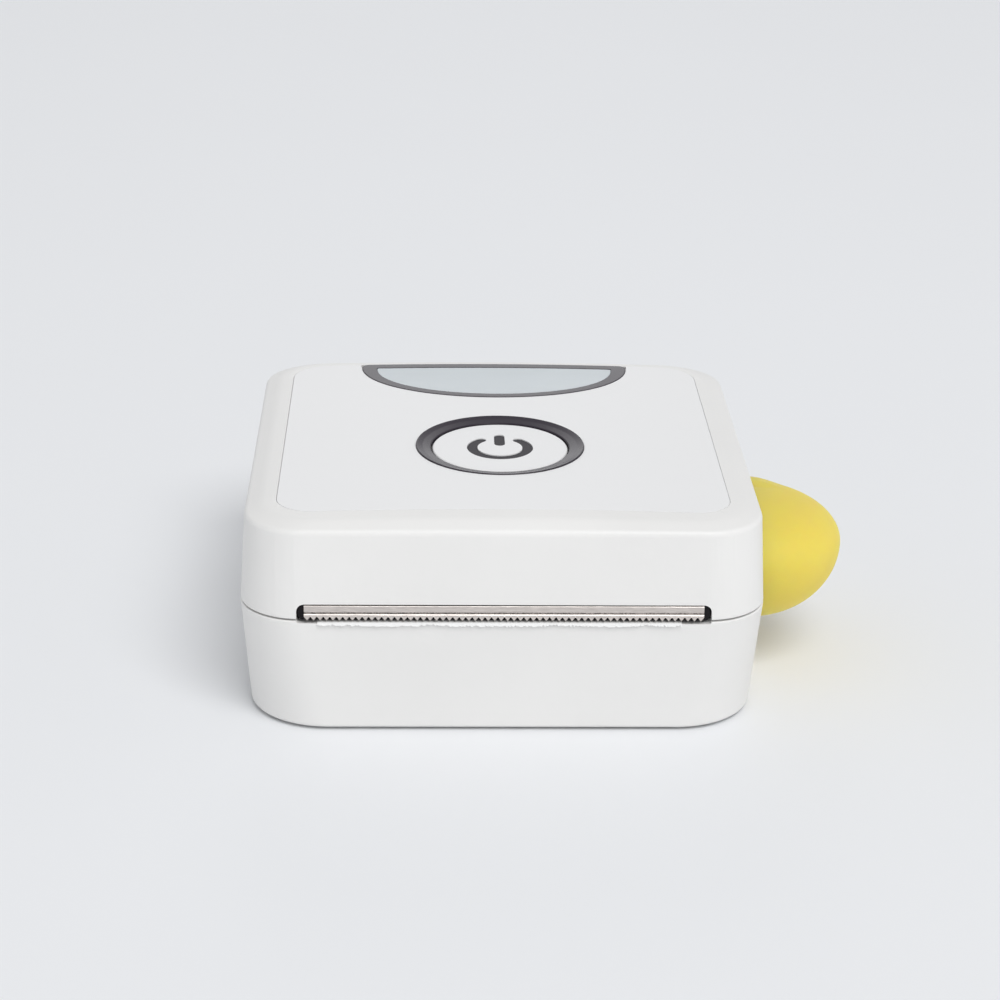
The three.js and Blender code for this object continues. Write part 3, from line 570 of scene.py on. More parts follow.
# ---------------------------------------------------------------- making a piece
def add_piece(name, mesh, material, body, nodes, sharp_degrees=32, weighted=True):
    """Scales a mesh to metres, shades it, and puts it on its CAD body in place of its CAD nodes."""
    mesh.name = name
    mesh.transform(Matrix.Scale(MM, 4))
    mesh.materials.clear()
    mesh.materials.append(material)
    mesh.shade_smooth()
    mesh.set_sharp_from_angle(angle=math.radians(sharp_degrees))
    piece = bpy.data.objects.new(name, mesh)
    bpy.context.scene.collection.objects.link(piece)
    if weighted:
        shading = piece.modifiers.new("shading", "WEIGHTED_NORMAL")
        shading.keep_sharp = True
        shading.weight = 80
    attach(piece, body)
    if nodes:
        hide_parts(*nodes)
    return piece


def smooth_step(low, high, value):
    t = min(1.0, max(0.0, (value - low) / (high - low)))
    return t * t * (3 - 2 * t)


def tab_loop(shrink=1.0, grow=0.0, fold=1.0, steps=240):
    """Two half ellipses, the lower one deeper, with a low fold along the upper rear."""
    along, above, below = TAB_RADII
    height, edge = TAB_FOLD[0] * fold, TAB_FOLD[2]
    points = []
    for step in range(steps):
        degrees = 360 * step / steps - 180
        side, up = math.cos(math.radians(degrees)), math.sin(math.radians(degrees))
        rise = height * smooth_step(-30, 35, degrees) * (1 - smooth_step(edge, edge + 8, degrees))
        crease = 0.2 * height * math.exp(-((degrees - edge - 8.5) / 2.8) ** 2)
        more = grow + rise - crease
        points.append((TAB_CENTRE.y + side * (along * shrink + more),
                       TAB_CENTRE.z + up * ((above if up > 0 else below) * shrink + more)))
    return points


def tab_outline(margin):
    return lambda grow=0.0: tab_loop(grow=margin + grow)


def tab_hole():
    """The hole in the side wall that the tab passes through, with the pocket behind it."""
    through = sweep(tab_outline(0.2), "X", [(36.0, 0.0), *flared_end(HALF_WIDTH, 0.25)])
    return [through, prism(tab_outline(1.2), "X", 35.0, 39.4)]


def rods_on_hinge(spans, radius):
    return [rod("X", radius, low, high, HINGE_Y, SEAM_Z, 40) for low, high in spans]


def rounded_knuckles(spans):
    outline = circle(HINGE_Y, SEAM_Z, KNUCKLE_RADIUS, 40)
    return [pillow_prism(outline, "X", low, high, 0.2) for low, high in spans]


def widened(spans):
    return [(low - KNUCKLE_CLEARANCE, high + KNUCKLE_CLEARANCE) for low, high in spans]


def polygon(points):
    return lambda grow=0.0: points


HINGE_BORE = (PIN_RADIUS + 0.12, -26.1, 26.1)


# ---------------------------------------------------------------- base
def seam_edge(face, outward):
    """Levels that round the rim of a case half over as it comes to the seam."""
    return [(-grow, z, CORNER_RADIUS + grow) for z, grow in rounded_end(face, SEAM_ROUNDING, outward)]


def base_skin():
    top = SEAM_Z - SEAM_GAP / 2
    foot = softened([
        (6.0, UNDERSIDE_Z, 10.0),
        (BASE_DRAFT + 0.12, UNDERSIDE_Z - 0.1, 12.6),
        (0.0, top - 0.02, CORNER_RADIUS),
        (1.2, top, CORNER_RADIUS - 1),
    ], 0.75, 7)
    outer = [(inset, max(z, UNDERSIDE_Z), radius) for inset, z, radius in foot if z < top - 2]
    outer += [(0.04, top - 0.8, CORNER_RADIUS)]
    return body_loft(outer + seam_edge(top, 1))


def base_shell():
    top = SEAM_Z - SEAM_GAP / 2
    cavity = body_loft([(BASE_DRAFT + WALL, FLOOR_TOP_Z, 9.0), (WALL, top + 1, 7.8)])

    def ring(outset, low, high):
        band = body_loft([(outset, low, 7.6), (outset, high - 0.2, 7.6), (outset + 0.2, high, 7.4)])
        return cut(band, body_loft([(3.2, low - 1, 6.8), (3.2, high + 1, 6.8)]))

    lip = join(ring(WALL - 0.1, 17.0, top - 0.25), ring(2.3, top - 0.5, 20.6))
    lip = cut(lip, prism(rounded_rectangle(-SLOT_HALF_WIDTH - 0.7, SLOT_HALF_WIDTH + 0.7, 16, 24, 0.1, 1),
                         "Y", -43, SLOT_BACK_Y))
    rib = polygon([(40, 12), (40.8, 13.6), (42.6, 17.2), (KNUCKLE_REAR_Y, 18.5), (KNUCKLE_REAR_Y, SEAM_Z),
                   (40, SEAM_Z)])
    ribs = [prism(rib, "X", low, high) for low, high in BASE_KNUCKLES]
    slot_floor = sweep(rounded_rectangle(-SLOT_HALF_WIDTH, SLOT_HALF_WIDTH, SLOT_FLOOR_Z, 24, 0.3, 4),
                       "Y", [(SLOT_BACK_Y, 0.0), *flared_end(-HALF_DEPTH, 0.12, outward=-1)])
    pad_seat = sweep(rounded_rectangle(-28.3, 28.3, -16.3, 22.3, 6.2), "Z",
                     [(1.1, 0.0), *flared_end(UNDERSIDE_Z, 0.15, outward=-1)])
    seats = []
    for x, y in SCREW_PLACES:
        seats.append(sweep(circle(x, y, 2.3, 40), "Z",
                           [(1.6, 0.0), *flared_end(UNDERSIDE_Z, 0.15, outward=-1)]))
        seats.append(rod("Z", 1.2, 0, 4, x, y, 24))
    port = sweep(rounded_rectangle(12.3, 21.7, 7.2, 10.8, 1.75), "X",
                 [(-36, 0.0), *flared_end(-HALF_WIDTH + 0.6, 0.35, outward=-1)])
    shell = cut(base_skin(), cavity)
    shell = join(shell, lip, *ribs, *rounded_knuckles(BASE_KNUCKLES))
    shell = cut(shell, slot_floor, *tab_hole(),
                *rods_on_hinge(widened(LID_KNUCKLES), KNUCKLE_RADIUS + KNUCKLE_CLEARANCE),
                rod("X", *HINGE_BORE, HINGE_Y, SEAM_Z, 24), pad_seat, *seats, port)
    add_piece("base_case", shell, WHITE, "base", ["base_shell"])


def foot_pad():
    low, high = PAD_BOX
    outline = rounded_rectangle(low.x, high.x, low.y, high.y, 6.0, 12)
    pad = pillow_prism(outline, "Z", low.z, high.z, 0.2)
    grooves = []
    for index in range(PAD_GROOVES):
        x = low.x + (high.x - low.x) * (index + 1) / (PAD_GROOVES + 1)
        groove = rounded_rectangle(x - 0.35, x + 0.35, low.y + 3, high.y - 3, 0.34, 5)
        grooves.append(prism(groove, "Z", -1, 0.25))
    add_piece("foot_pad", cut(pad, *grooves), RUBBER, "base", ["base_pad"])


def case_screws():
    """Countersunk screws with a cross recess."""
    for number, (x, y) in enumerate(SCREW_PLACES, 1):
        head = pillow_prism(circle(x, y, 1.9, 40), "Z", 0.7, 1.5, 0.18)
        head = join(head, rod("Z", 0.8, 1.4, 8, x, y, 20))
        for half_u, half_v in ((1.05, 0.18), (0.18, 1.05)):
            arm = rounded_rectangle(x - half_u, x + half_u, y - half_v, y + half_v, 0.1, 3)
            head = cut(head, prism(arm, "Z", 0, 1.2))
        node = f"case_screw_{number}"
        add_piece(node + "_turned", head, BRIGHT_STEEL, "base", [node])


def charging_socket():
    low, high = SOCKET_BOX
    middle_y, middle_z = (low.y + high.y) / 2, (low.z + high.z) / 2
    outer = rounded_rectangle(low.y, high.y, low.z, high.z, 1.55, 10)
    inner = rounded_rectangle(low.y + 0.3, high.y - 0.3, low.z + 0.3, high.z - 0.3, 1.28, 10)
    shell = pillow_prism(outer, "X", low.x, high.x, 0.08)
    shell = cut(shell, sweep(inner, "X", [(-35, 0.0), *flared_end(low.x, 0.1, outward=-1)]))
    add_piece("socket_shell", shell, BRIGHT_STEEL, "base", ["usb_socket"])
    blade = rounded_rectangle(middle_y - 3.3, middle_y + 3.3, middle_z - 0.35, middle_z + 0.35, 0.2, 4)
    tongue = pillow_prism(blade, "X", -39.9, -34.9, 0.12)
    add_piece("socket_tongue", tongue, BLACK, "base", [])


# ---------------------------------------------------------------- lid
def lid_skin():
    low = SEAM_Z + SEAM_GAP / 2
    shoulder = softened([
        (0.04, low + 0.8, CORNER_RADIUS),
        (*BEVEL_LOW, 9.65),
        (*BEVEL_HIGH, 8.2),
        (*RIM_EDGE, 6.2),
    ], 0.8, 6)
    return body_loft(seam_edge(low, -1)[::-1] + shoulder)


def lid_shell():
    low = SEAM_Z + SEAM_GAP / 2
    cavity = body_loft([(WALL, low - 1, 7.8), (WALL + 0.6, LID_CEILING_Z - 0.8, 7.6),
                        (WALL + 1.4, LID_CEILING_Z, 7.0)])
    x, y = HALF_WIDTH - RIM_EDGE[0], HALF_DEPTH - RIM_EDGE[0]
    recess = sweep(rounded_rectangle(-x, x, -y, y, PANEL_RADIUS, 16), "Z",
                   [(RECESS_Z, 0.0), *flared_end(RIM_EDGE[1], 0.06)])
    slot = sweep(rounded_rectangle(-SLOT_HALF_WIDTH, SLOT_HALF_WIDTH, 17, SLOT_TOP_Z, 1.2, 8), "Y",
                 [(SLOT_BACK_Y, 0.0), *flared_end(-HALF_DEPTH, 0.14, outward=-1)])
    rib = polygon([(40, 26), (40, low + 0.05), (HINGE_Y, SEAM_Z + 0.2), (KNUCKLE_REAR_Y, SEAM_Z + 0.2),
                   (KNUCKLE_REAR_Y, 20.8), (42.4, 22.2), (41.0, 24.4)])
    ribs = [prism(rib, "X", start, end) for start, end in LID_KNUCKLES]
    posts = [cut(rod("Z", 2.1, BOARD_TOP_Z + 0.3, LID_CEILING_Z + 0.3, px, py, 32),
                 rod("Z", 0.9, BOARD_TOP_Z - 1, LID_CEILING_Z - 0.6, px, py, 20)) for px, py in BOARD_POSTS]
    spring_pins = [rod("Z", 1.1, 24, LID_CEILING_Z + 0.3, px, py, 20) for px, py in HEAD_SPRING_PLACES]
    keeper_rib = prism(rounded_rectangle(34.8, 36.2, TAB_CENTRE.y - 2.6, TAB_CENTRE.y + 2.6, 0.3, 3),
                       "Z", 30, LID_CEILING_Z + 0.3)
    shell = cut(lid_skin(), cavity)
    shell = join(shell, *ribs, *rounded_knuckles(LID_KNUCKLES), *posts, *spring_pins, keeper_rib)
    shell = cut(shell, recess, rod("Z", CAP_HOLE_RADIUS, 30, 40, BUTTON.x, BUTTON.y, 72),
                prism(half_moon(LENS_BOX, -0.85), "Z", 30, 40), slot, *tab_hole(),
                *rods_on_hinge(widened(BASE_KNUCKLES), KNUCKLE_RADIUS + KNUCKLE_CLEARANCE),
                rod("X", *HINGE_BORE, HINGE_Y, SEAM_Z, 24))
    add_piece("lid_case", crown(shell), WHITE, "lid", ["lid_shell"])


def top_panel():
    x = HALF_WIDTH - RIM_EDGE[0] - PANEL_GROOVE
    y = HALF_DEPTH - RIM_EDGE[0] - PANEL_GROOVE
    outline = rounded_rectangle(-x, x, -y, y, PANEL_RADIUS - PANEL_GROOVE, 16)
    panel = sweep(outline, "Z", [(PANEL_BOX[0].z, 0.0), *rounded_end(TOP_Z, 0.07)])
    window_gap = sweep(half_moon(FRAME_BOX, 0.06), "Z", [(30, 0.0), *flared_end(TOP_Z, 0.07)])
    notch = prism(rounded_rectangle(FRAME_BOX[0].x - PANEL_GAP, FRAME_BOX[1].x + PANEL_GAP,
                                    FRAME_BOX[1].y - 1.2, 41, 0.1, 1), "Z", 30, 40)
    ring_gap = sweep(circle(BUTTON.x, BUTTON.y, RING_RADIUS + 0.05, 96), "Z",
                     [(30, 0.0), *flared_end(TOP_Z, 0.06)])
    panel = cut(panel, window_gap, notch, ring_gap)
    add_piece("panel", crown(panel), PANEL_WHITE, "lid", ["top_panel"])


def window():
    low, high = FRAME_BOX
    crest = high.z
    bezel = sweep(half_moon(FRAME_BOX), "Z", [(low.z, 0.0), *rounded_end(crest, 0.1)])
    opening = half_moon(LENS_BOX, 0.05, LENS_CORNER)
    bezel = cut(bezel, sweep(opening, "Z", [(30, 0.0), *flared_end(crest, 0.06)]))
    add_piece("window_bezel", crown(bezel), TRIM, "lid", ["window_frame"])
    glass = sweep(half_moon(LENS_BOX, 0.0, LENS_CORNER), "Z",
                  [(LENS_BOX[0].z, 0.0), *rounded_end(crest - 0.06, 0.05)])
    add_piece("window_glass", crown(glass), WINDOW, "lid", ["window_lens"])


def button_ring():
    """A trim ring whose face dips in towards the button and ends in a short upright wall."""
    crest, foot = RING_BOX[1].z, RING_BOX[0].z
    inner, inner_z = 11.45, 35.64
    profile = softened([
        (inner + 0.2, foot), (RING_RADIUS, foot), (RING_RADIUS, crest - 0.08), (RING_RADIUS - 0.1, crest),
        (RING_RADIUS - 1.1, crest - 0.27), (inner + 0.1, inner_z), (inner, inner_z - 0.08),
        (inner, foot + 0.3),
    ], 0.08, 4)
    add_piece("button_trim", lathe(profile, BUTTON), TRIM, "lid", ["button_ring"])


def power_mark(grow, low, high):
    """A broken ring and a bar, the usual sign for power."""
    stroke, middle = 0.8 + grow, 4.6
    gap = math.radians(42)
    start, end = TAU / 4 + gap, 1.25 * TAU - gap
    outer = arc(0, 0, middle + stroke, middle + stroke, start, end, 64)
    end_cap = arc(middle * math.cos(end), middle * math.sin(end), stroke, stroke, end, end + TAU / 2, 12)
    inner = arc(0, 0, middle - stroke, middle - stroke, end, start, 64)
    start_cap = arc(middle * math.cos(start), middle * math.sin(start), stroke, stroke,
                    start + TAU / 2, start + TAU, 12)
    outline = outer + end_cap[1:-1] + inner + start_cap[1:-1]
    moved = [(u + BUTTON.x, v + BUTTON.y) for u, v in outline]
    bar = rounded_rectangle(BUTTON.x - stroke, BUTTON.x + stroke, BUTTON.y + 0.9 - grow, BUTTON.y + 6 + grow,
                            stroke - 0.01, 10)
    return prism(polygon(moved), "Z", low, high), prism(bar, "Z", low, high)


def power_button():
    skin_z = CAP_TOP_Z - 1.2
    cap = sweep(circle(BUTTON.x, BUTTON.y, CAP_RADIUS, 96), "Z",
                [(32.4, 0.0), *rounded_end(CAP_TOP_Z, 0.3, 1, 6)])
    flange = prism(circle(BUTTON.x, BUTTON.y, 12.6, 72), "Z", 32.1, 32.9)
    cap = join(cap, flange)
    cap = cut(cap, rod("Z", 10, 30, skin_z, BUTTON.x, BUTTON.y, 64), *power_mark(0.08, skin_z - 1, 40))
    add_piece("power_cap", cap, PANEL_WHITE, "button", ["power_button"])
    insert = join(rod("Z", 9.7, 33.2, skin_z - 0.1, BUTTON.x, BUTTON.y, 48),
                  *power_mark(0.0, skin_z - 0.3, CAP_TOP_Z - 0.15),
                  rod("Z", 2.4, BOARD_TOP_Z + 2.15, 33.4, BUTTON.x, BUTTON.y, 24))
    add_piece("power_insert", insert, MARK, "button", ["button_icon"])


# ---------------------------------------------------------------- slot, tear bar and paper
def slot_carrier():
    low, high = CARRIER_BOX
    outline = rounded_rectangle(low.x, high.x, low.z, high.z, 1.0, 8)
    carrier = pillow_prism(outline, "Y", low.y, high.y, 0.15)
    add_piece("bar_carrier", carrier, BLACK, "lid", ["tear_bar_carrier"])


def tear_bar():
    """A folded steel strip: a flat, a raised fold, and a row of teeth with ground flanks."""
    low, high = BAR_BOX
    half = high.x - 0.1
    pitch = 2 * half / BAR_TEETH
    tip_z = low.z
    plate_y, tooth_y = high.y - 0.35, low.y
    face = [
        (plate_y + 0.04, high.z), (plate_y, high.z - 0.05), (plate_y + 0.02, 20.93), (plate_y + 0.14, 20.90),
        (plate_y + 0.15, 20.80), (plate_y + 0.02, 20.74), (plate_y - 0.12, 20.61), (plate_y - 0.15, 20.56),
        (plate_y - 0.13, 20.42),
    ]
    random.seed(11)
    points, columns = [], []

    def column(x, edge_z, nick):
        columns.append(len(points))
        points.extend((x, y, z) for y, z in face)
        points.extend([(x, tooth_y, edge_z + 0.14 + nick), (x, tooth_y + 0.15, edge_z),
                       (x, high.y, edge_z + 0.02), (x, high.y, high.z)])

    column(-half, BAR_ROOT_Z, 0.0)
    for tooth in range(BAR_TEETH):
        left = -half + tooth * pitch
        wear = random.uniform(-0.02, 0.02)
        for share in TOOTH_TIP:
            column(left + share * pitch, tip_z + abs(wear), wear)
        if tooth + 1 < BAR_TEETH:
            for share in TOOTH_ROOT:
                column(left + share * pitch, BAR_ROOT_Z, wear)
    column(half, BAR_ROOT_Z, 0.0)
    rows = len(face) + 4
    faces = [(a + i, b + i, b + (i + 1) % rows, a + (i + 1) % rows)
             for a, b in zip(columns, columns[1:]) for i in range(rows)]
    faces += [tuple(columns[0] + i for i in range(rows)), tuple(columns[-1] + i for i in range(rows))[::-1]]
    add_piece("tear_bar_blade", closed_mesh(points, faces), STEEL, "lid", ["tear_bar"],
              sharp_degrees=20, weighted=False)


def torn_edge(x, wander):
    """How far the torn edge stands up at x: long flat runs, small steps between them, and fray."""
    run = noise.noise(Vector((x * 0.14, 0, 0)) + wander)
    step = math.floor(2.6 * noise.noise(Vector((x * 0.33, 5, 0)) + wander) + 0.5)
    fine = noise.noise(Vector((x * 1.3, 3, 0)) + wander)
    fray = noise.noise(Vector((x * 3.7, 7, 0)) + wander)
    return max(-0.14, 0.20 * run + 0.10 * step + 0.26 * fine + 0.24 * fray)


def paper_strip():
    """The strip from the roll to its torn edge, which droops outside the slot."""
    low, high = STRIP_BOX
    end_y = -41.14
    route = softened([
        (high.y - 0.05, high.z - 0.1), (-27.6, PAPER_Z), (-40.98, PAPER_Z), (end_y, PAPER_Z - 0.16),
        (end_y - 0.04, low.z + 0.2), (end_y - 0.12, low.z + 0.03),
    ], 0.5, 5)
    columns = 720
    half_thickness = 0.05
    random.seed(57)
    wander = Vector((random.uniform(0, 50), 0.0, 0.0))
    first = next(i for i, (y, z) in enumerate(route) if y < -40.9)
    points = []
    for side in (1, -1):
        for index in range(columns + 1):
            x = low.x + (high.x - low.x) * index / columns
            torn = torn_edge(x, wander)
            for i, (y, z) in enumerate(route):
                share = max(0.0, (i - first) / (len(route) - 1 - first))
                ripple = 0.04 * share * noise.noise(Vector((x * 0.3, 9, 0)) + wander)
                across = (0.0, 1.0) if i < first + 3 else (-1.0, 0.0)
                points.append((x, y + ripple + side * half_thickness * across[0],
                               z + (0.15 + torn) * share ** 2 + side * half_thickness * across[1]))
    faces = []
    rows = len(route)
    sheet = (columns + 1) * rows
    for index in range(columns):
        for i in range(rows - 1):
            a, b = index * rows + i, (index + 1) * rows + i
            faces.append((a, b, b + 1, a + 1))
            faces.append((sheet + a, sheet + a + 1, sheet + b + 1, sheet + b))
        for i in (0, rows - 1):
            a, b = index * rows + i, (index + 1) * rows + i
            faces.append((a, sheet + a, sheet + b, b))
    for index in (0, columns):
        for i in range(rows - 1):
            a = index * rows + i
            faces.append((a, a + 1, sheet + a + 1, sheet + a))
    add_piece("paper_tongue", closed_mesh(points, faces), PAPER, "base", ["paper_strip"],
              weighted=False)


# ---------------------------------------------------------------- side tab
def side_tab():
    """A soft dome on the side wall; the fold along its upper rear fades as it runs out."""
    rings = 56
    start_x = TAB_BOX[0].x
    loops = [(start_x, 1.0, 1.0), (start_x + 1.0, 1.0, 1.0)]
    for ring in range(rings):
        angle = TAU / 4 * 0.995 * ring / (rings - 1)
        out = TAB_REACH * math.sin(angle)
        loops.append((TAB_CENTRE.x + out, math.cos(angle), 1 - smooth_step(0.6, TAB_FOLD[1], out)))
    soft = skin([[(x, y, z) for y, z in tab_loop(shrink, 0.0, fold)] for x, shrink, fold in loops])
    add_piece("side_tab_soft", soft, SILICONE, "release", ["side_tab"],
              sharp_degrees=60, weighted=False)


# ---------------------------------------------------------------- inside the lid and the bay
def block(x0, x1, y0, y1, z0, z1):
    return prism(polygon([(x0, y0), (x1, y0), (x1, y1), (x0, y1)]), "Z", z0, z1)


def together(meshes):
    """Separate closed bodies kept in one mesh."""
    points, faces = [], []
    for mesh in meshes:
        first = len(points)
        points += [tuple(vertex.co) for vertex in mesh.vertices]
        faces += [tuple(first + index for index in face.vertices) for face in mesh.polygons]
    return closed_mesh(points, faces)


def paper_roll():
    low, high = ROLL_BOX
    y, z = (low.y + high.y) / 2, (low.z + high.z) / 2
    roll = pillow_prism(circle(y, z, high.y - y, 128), "X", low.x, high.x, 0.25)
    hollow = (CORE_BOX[1].y - CORE_BOX[0].y) / 2 + 0.05
    bore = sweep(circle(y, z, hollow, 96), "X",
                 [(low.x - 1, 0.15), (low.x, 0.15), (low.x + 0.15, 0.0), (high.x - 0.15, 0.0), (high.x, 0.15),
                  (high.x + 1, 0.15)])
    add_piece("wound_roll", cut(roll, bore), ROLL_PAPER, "roll", ["paper_roll"])
    outer = circle(y, z, hollow - 0.05, 96)
    core = pillow_prism(outer, "X", low.x, high.x, 0.15)
    core = cut(core, rod("X", 4.2, low.x - 1, high.x + 1, y, z, 72))
    add_piece("card_core", core, CARD, "roll", ["roll_core"])


def main_board():
    """The board with its chips, connectors and small parts on the side that faces down."""
    low, high = box_mm("main_board")
    outline = rounded_rectangle(low.x, high.x, low.y, high.y, 1.2, 6)
    board = pillow_prism(outline, "Z", low.z, high.z, 0.06)
    board = cut(board, *[rod("Z", 1.0, low.z - 1, high.z + 1, x, y, 32) for x, y in BOARD_POSTS])
    add_piece("printed_board", board, BOARD, "lid", ["main_board"])
    bodies = [pillow_prism(rounded_rectangle(x - u, x + u, y - v, y + v, 0.15, 3), "Z",
                           low.z - tall, low.z - 0.12, 0.08) for x, y, u, v, tall in BOARD_CHIPS]
    add_piece("board_chips", together(bodies), BLACK, "lid", [])
    legs, small = [], []
    for x, y, u, v, _ in BOARD_CHIPS:
        count = max(3, int(u / 0.32))
        for index in range(count):
            place = x - u + 2 * u * (index + 0.5) / count
            legs += [block(place - 0.11, place + 0.11, edge - 0.45, edge + 0.45, low.z - 0.22, low.z - 0.01)
                     for edge in (y - v, y + v)]
    random.seed(23)
    for _ in range(BOARD_SMALL_PARTS):
        x, y = random.uniform(-28, 28), random.uniform(-20, 0)
        if any(abs(x - cx) < u + 1.3 and abs(y - cy) < v + 1.3 for cx, cy, u, v, _ in BOARD_CHIPS):
            continue
        if any(math.hypot(x - px, y - py) < 3.2 for px, py in BOARD_POSTS):
            continue
        legs += [block(x - 0.75, x - 0.45, y - 0.3, y + 0.3, low.z - 0.32, low.z - 0.01),
                 block(x + 0.45, x + 0.75, y - 0.3, y + 0.3, low.z - 0.32, low.z - 0.01)]
        small.append(block(x - 0.44, x + 0.44, y - 0.28, y + 0.28, low.z - 0.35, low.z - 0.02))
    add_piece("board_leads", together(legs), BRIGHT_STEEL, "lid", [], weighted=False)
    add_piece("board_small_parts", together(small), CERAMIC, "lid", [], weighted=False)
    sockets = [pillow_prism(rounded_rectangle(x - u, x + u, y - v, y + v, 0.2, 3), "Z",
                            low.z - 1.9, low.z - 0.05, 0.1)
               for x, y, u, v in BOARD_CONNECTORS]
    add_piece("board_connectors", together(sockets), ACETAL, "lid", [])


def print_head():
    """The glazed heater line along the underside of the ceramic bar."""
    low, high = box_mm("print_head")
    line = pillow_prism(rounded_rectangle(low.x + 2, high.x - 2, -32.35, -31.65, 0.3, 4), "Z",
                        low.z - 0.06, low.z + 0.1, 0.04)
    add_piece("heater_line", line, BLACK, "lid", [])


def battery_wrap():
    """Amber tape across the cell's protection end; the cell's two insulated leads are not made."""
    low, high = box_mm("battery_pack")
    tape = pillow_prism(rounded_rectangle(low.y - 0.05, high.y + 0.05, low.z + 0.02, high.z + 0.05, 1.5, 10),
                        "X", low.x + 0.6, low.x + 4.4, 0.05)
    add_piece("battery_tape", tape, KAPTON, "base", [])


# ---------------------------------------------------------------- springs
def wound_spring(node, axis, turns=6.0, steps_per_turn=36):
    """Round wire wound inside a node's box, with a closed turn at either end."""
    low, high = box_mm(node)
    centre = (low + high) / 2
    start, end = {"X": (low.x, high.x), "Z": (low.z, high.z)}[axis]
    coil = (high.y - low.y) / 2 - WIRE_RADIUS
    steps = round(turns * steps_per_turn)
    loops = []
    for step in range(steps + 1):
        turn = turns * step / steps
        closed = 2 * WIRE_RADIUS * (min(turn, 1) + max(0, turn - turns + 1))
        open_share = min(1, max(0, (turn - 1) / (turns - 2)))
        along = start + WIRE_RADIUS + closed + open_share * (end - start - 6 * WIRE_RADIUS)
        loop = []
        for side in range(12):
            out = coil + WIRE_RADIUS * math.cos(TAU * side / 12)
            place = along + WIRE_RADIUS * math.sin(TAU * side / 12)
            across, up = out * math.cos(TAU * turn), out * math.sin(TAU * turn)
            loop.append((place, centre.y + across, centre.z + up) if axis == "X"
                        else (centre.x + across, centre.y + up, place))
        loops.append(loop)
    return skin(loops)


def springs():
    """Wound wire for the head and tab springs, each tab spring on a mesh of its own; in the object the tab's
    springs shorten against the tray as the tab goes in.
    """
    for node in ("head_spring_left", "head_spring_right"):
        add_piece(node + "_wire", wound_spring(node, "Z"), BRIGHT_STEEL, "lid", [node],
                  sharp_degrees=60, weighted=False)
    for node in ("tab_spring_front", "tab_spring_rear"):
        piece = add_piece(node + "_wire", wound_spring(node, "X"), BRIGHT_STEEL, "base", [node],
                          sharp_degrees=60, weighted=False)
        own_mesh(piece)


# ---------------------------------------------------------------- carried-over nodes
CARRIED = {
    "hinge_pin": BRIGHT_STEEL, "idler_pin": BRIGHT_STEEL, "motor_shaft": BRIGHT_STEEL,
    "platen_shaft": BRIGHT_STEEL, "gear_plate": PLATE_STEEL, "bearing_plate": PLATE_STEEL,
    "latch_keeper": PLATE_STEEL,
    **{f"board_screw_{number}": BRIGHT_STEEL for number in range(1, 5)},
    "inner_tray": TRAY, "paper_sensor": BLACK,
    "platen_bushing_left": BLACK, "platen_bushing_right": BLACK, "tab_slider": BLACK, "tact_switch": BLACK,
    "motor_can": ALUMINIUM, "head_heatsink": ALUMINIUM, "battery_pack": FOIL, "charge_board": BOARD,
    "print_head": CERAMIC, "head_ribbon": KAPTON, "platen_sleeve": RUBBER,
    "platen_gear": ACETAL, "idler_gear": ACETAL, "motor_pinion": ACETAL,
}


BROKEN_EDGES = {                 # node: width of the edge rounding, in millimetres
    "inner_tray": 0.25, "gear_plate": 0.12, "bearing_plate": 0.12, "head_heatsink": 0.15,
    "print_head": 0.08, "battery_pack": 0.6, "motor_can": 0.4, "platen_sleeve": 0.2, "tab_slider": 0.2,
    "tact_switch": 0.15, "latch_keeper": 0.12, "paper_sensor": 0.2, "hinge_pin": 0.15,
    "platen_shaft": 0.15, "idler_pin": 0.12, "platen_bushing_left": 0.12, "platen_bushing_right": 0.12,
    "platen_gear": 0.06, "idler_gear": 0.06, "motor_pinion": 0.05, "charge_board": 0.08,
    **{f"board_screw_{number}": 0.15 for number in range(1, 5)},
}


def dress_carried_nodes():
    for name, material in CARRIED.items():
        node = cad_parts[name]
        node.material_slots[0].material = material
        if name in BROKEN_EDGES:
            bevel = node.modifiers.new("broken edges", "BEVEL")
            bevel.width = BROKEN_EDGES[name] * MM
            bevel.segments = 2
            bevel.limit_method = "ANGLE"
            bevel.angle_limit = math.radians(40)
            bevel.harden_normals = True


# ---------------------------------------------------------------- floor, light and camera
def floor():
    mesh = bpy.data.meshes.new("floor")
    half = 4.0
    corners = [(-half, -half, 0), (half, -half, 0), (half, half, 0), (-half, half, 0)]
    mesh.from_pydata(corners, [], [(0, 1, 2, 3)])
    ground = bpy.data.objects.new("floor", mesh)
    bpy.context.scene.collection.objects.link(ground)
    ground.location.z = -0.00002      # clear of the foot pad's face
    surface = principled("floor_paper", (0.83, 0.84, 0.855), 0.7)
    vary_colour(surface, noise_field(surface, 6.0, detail=2.0), 0.004)
    mesh.materials.append(surface)


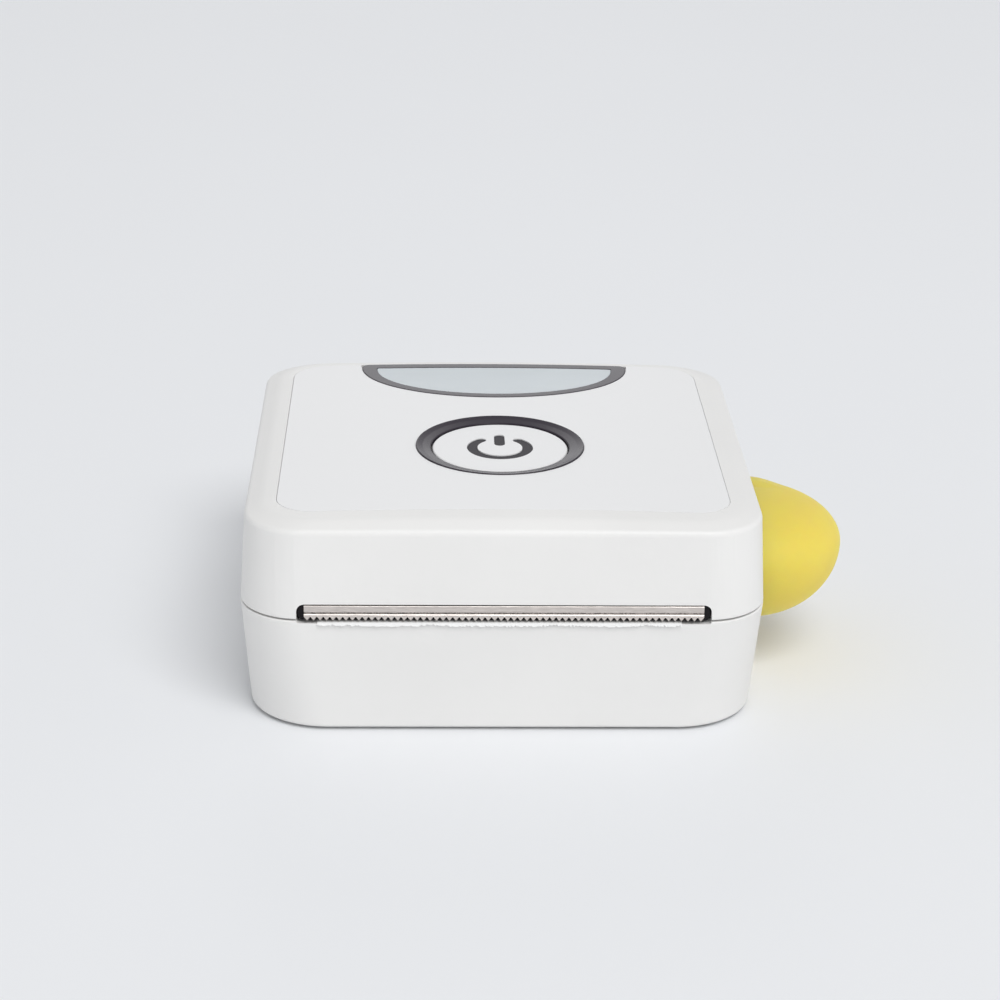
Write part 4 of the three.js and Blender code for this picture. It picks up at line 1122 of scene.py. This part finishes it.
def softbox(name, direction, distance, width, height, radiance):
    """A rectangular light at a distance along a direction, facing the part."""
    lamp = bpy.data.lights.new(name, "AREA")
    lamp.shape = "RECTANGLE"
    lamp.size, lamp.size_y = width, height
    lamp.energy = math.pi * width * height * radiance
    light = bpy.data.objects.new(name, lamp)
    light.location = Vector(direction).normalized() * distance
    light.rotation_euler = (-light.location).to_track_quat("-Z", "Y").to_euler()
    bpy.context.scene.collection.objects.link(light)


def studio_light():
    world = bpy.data.worlds.new("studio")
    world.use_nodes = True
    nodes, links = world.node_tree.nodes, world.node_tree.links
    place = nodes.new("ShaderNodeTexCoord")
    height = nodes.new("ShaderNodeSeparateXYZ")
    shade = nodes.new("ShaderNodeValToRGB")
    shade.color_ramp.elements[0].position = 0.0
    shade.color_ramp.elements[0].color = (0.81, 0.82, 0.84, 1)
    shade.color_ramp.elements[1].position = 0.75
    shade.color_ramp.elements[1].color = (0.46, 0.465, 0.475, 1)
    links.new(place.outputs["Generated"], height.inputs["Vector"])
    links.new(height.outputs["Z"], shade.inputs["Fac"])
    links.new(shade.outputs["Color"], nodes["Background"].inputs["Color"])
    bpy.context.scene.world = world
    softbox("key", (0.260, -0.535, 0.804), 4.0, 2.2, 2.2, 5.8)
    softbox("fill", (0.35, -0.93, 0.05), 3.0, 2.0, 0.8, 0.8)
    softbox("back", (0.0, 0.92, 0.38), 3.0, 0.9, 1.4, 1.0)


def camera():
    lens = bpy.data.cameras.new("camera")
    lens.lens = 92.716
    lens.sensor_width = 36.0
    lens.clip_start, lens.clip_end = 0.01, 20.0
    viewer = bpy.data.objects.new("camera", lens)
    pitch, heading, roll = math.radians(21.658), math.radians(-1.873), math.radians(0.906)
    turn = (Matrix.Rotation(heading, 4, "Z") @ Matrix.Rotation(TAU / 4 - pitch, 4, "X")
            @ Matrix.Rotation(roll, 4, "Z"))
    viewer.matrix_world = Matrix.Translation((-0.012911, -0.405810, 0.184784)) @ turn
    bpy.context.scene.collection.objects.link(viewer)
    bpy.context.scene.camera = viewer


base_shell()
foot_pad()
case_screws()
charging_socket()
lid_shell()
top_panel()
window()
button_ring()
power_button()
slot_carrier()
tear_bar()
paper_strip()
side_tab()
paper_roll()
main_board()
print_head()
battery_wrap()
springs()
dress_carried_nodes()
floor()
studio_light()
camera()
bpy.context.scene.view_settings.view_transform = "Standard"
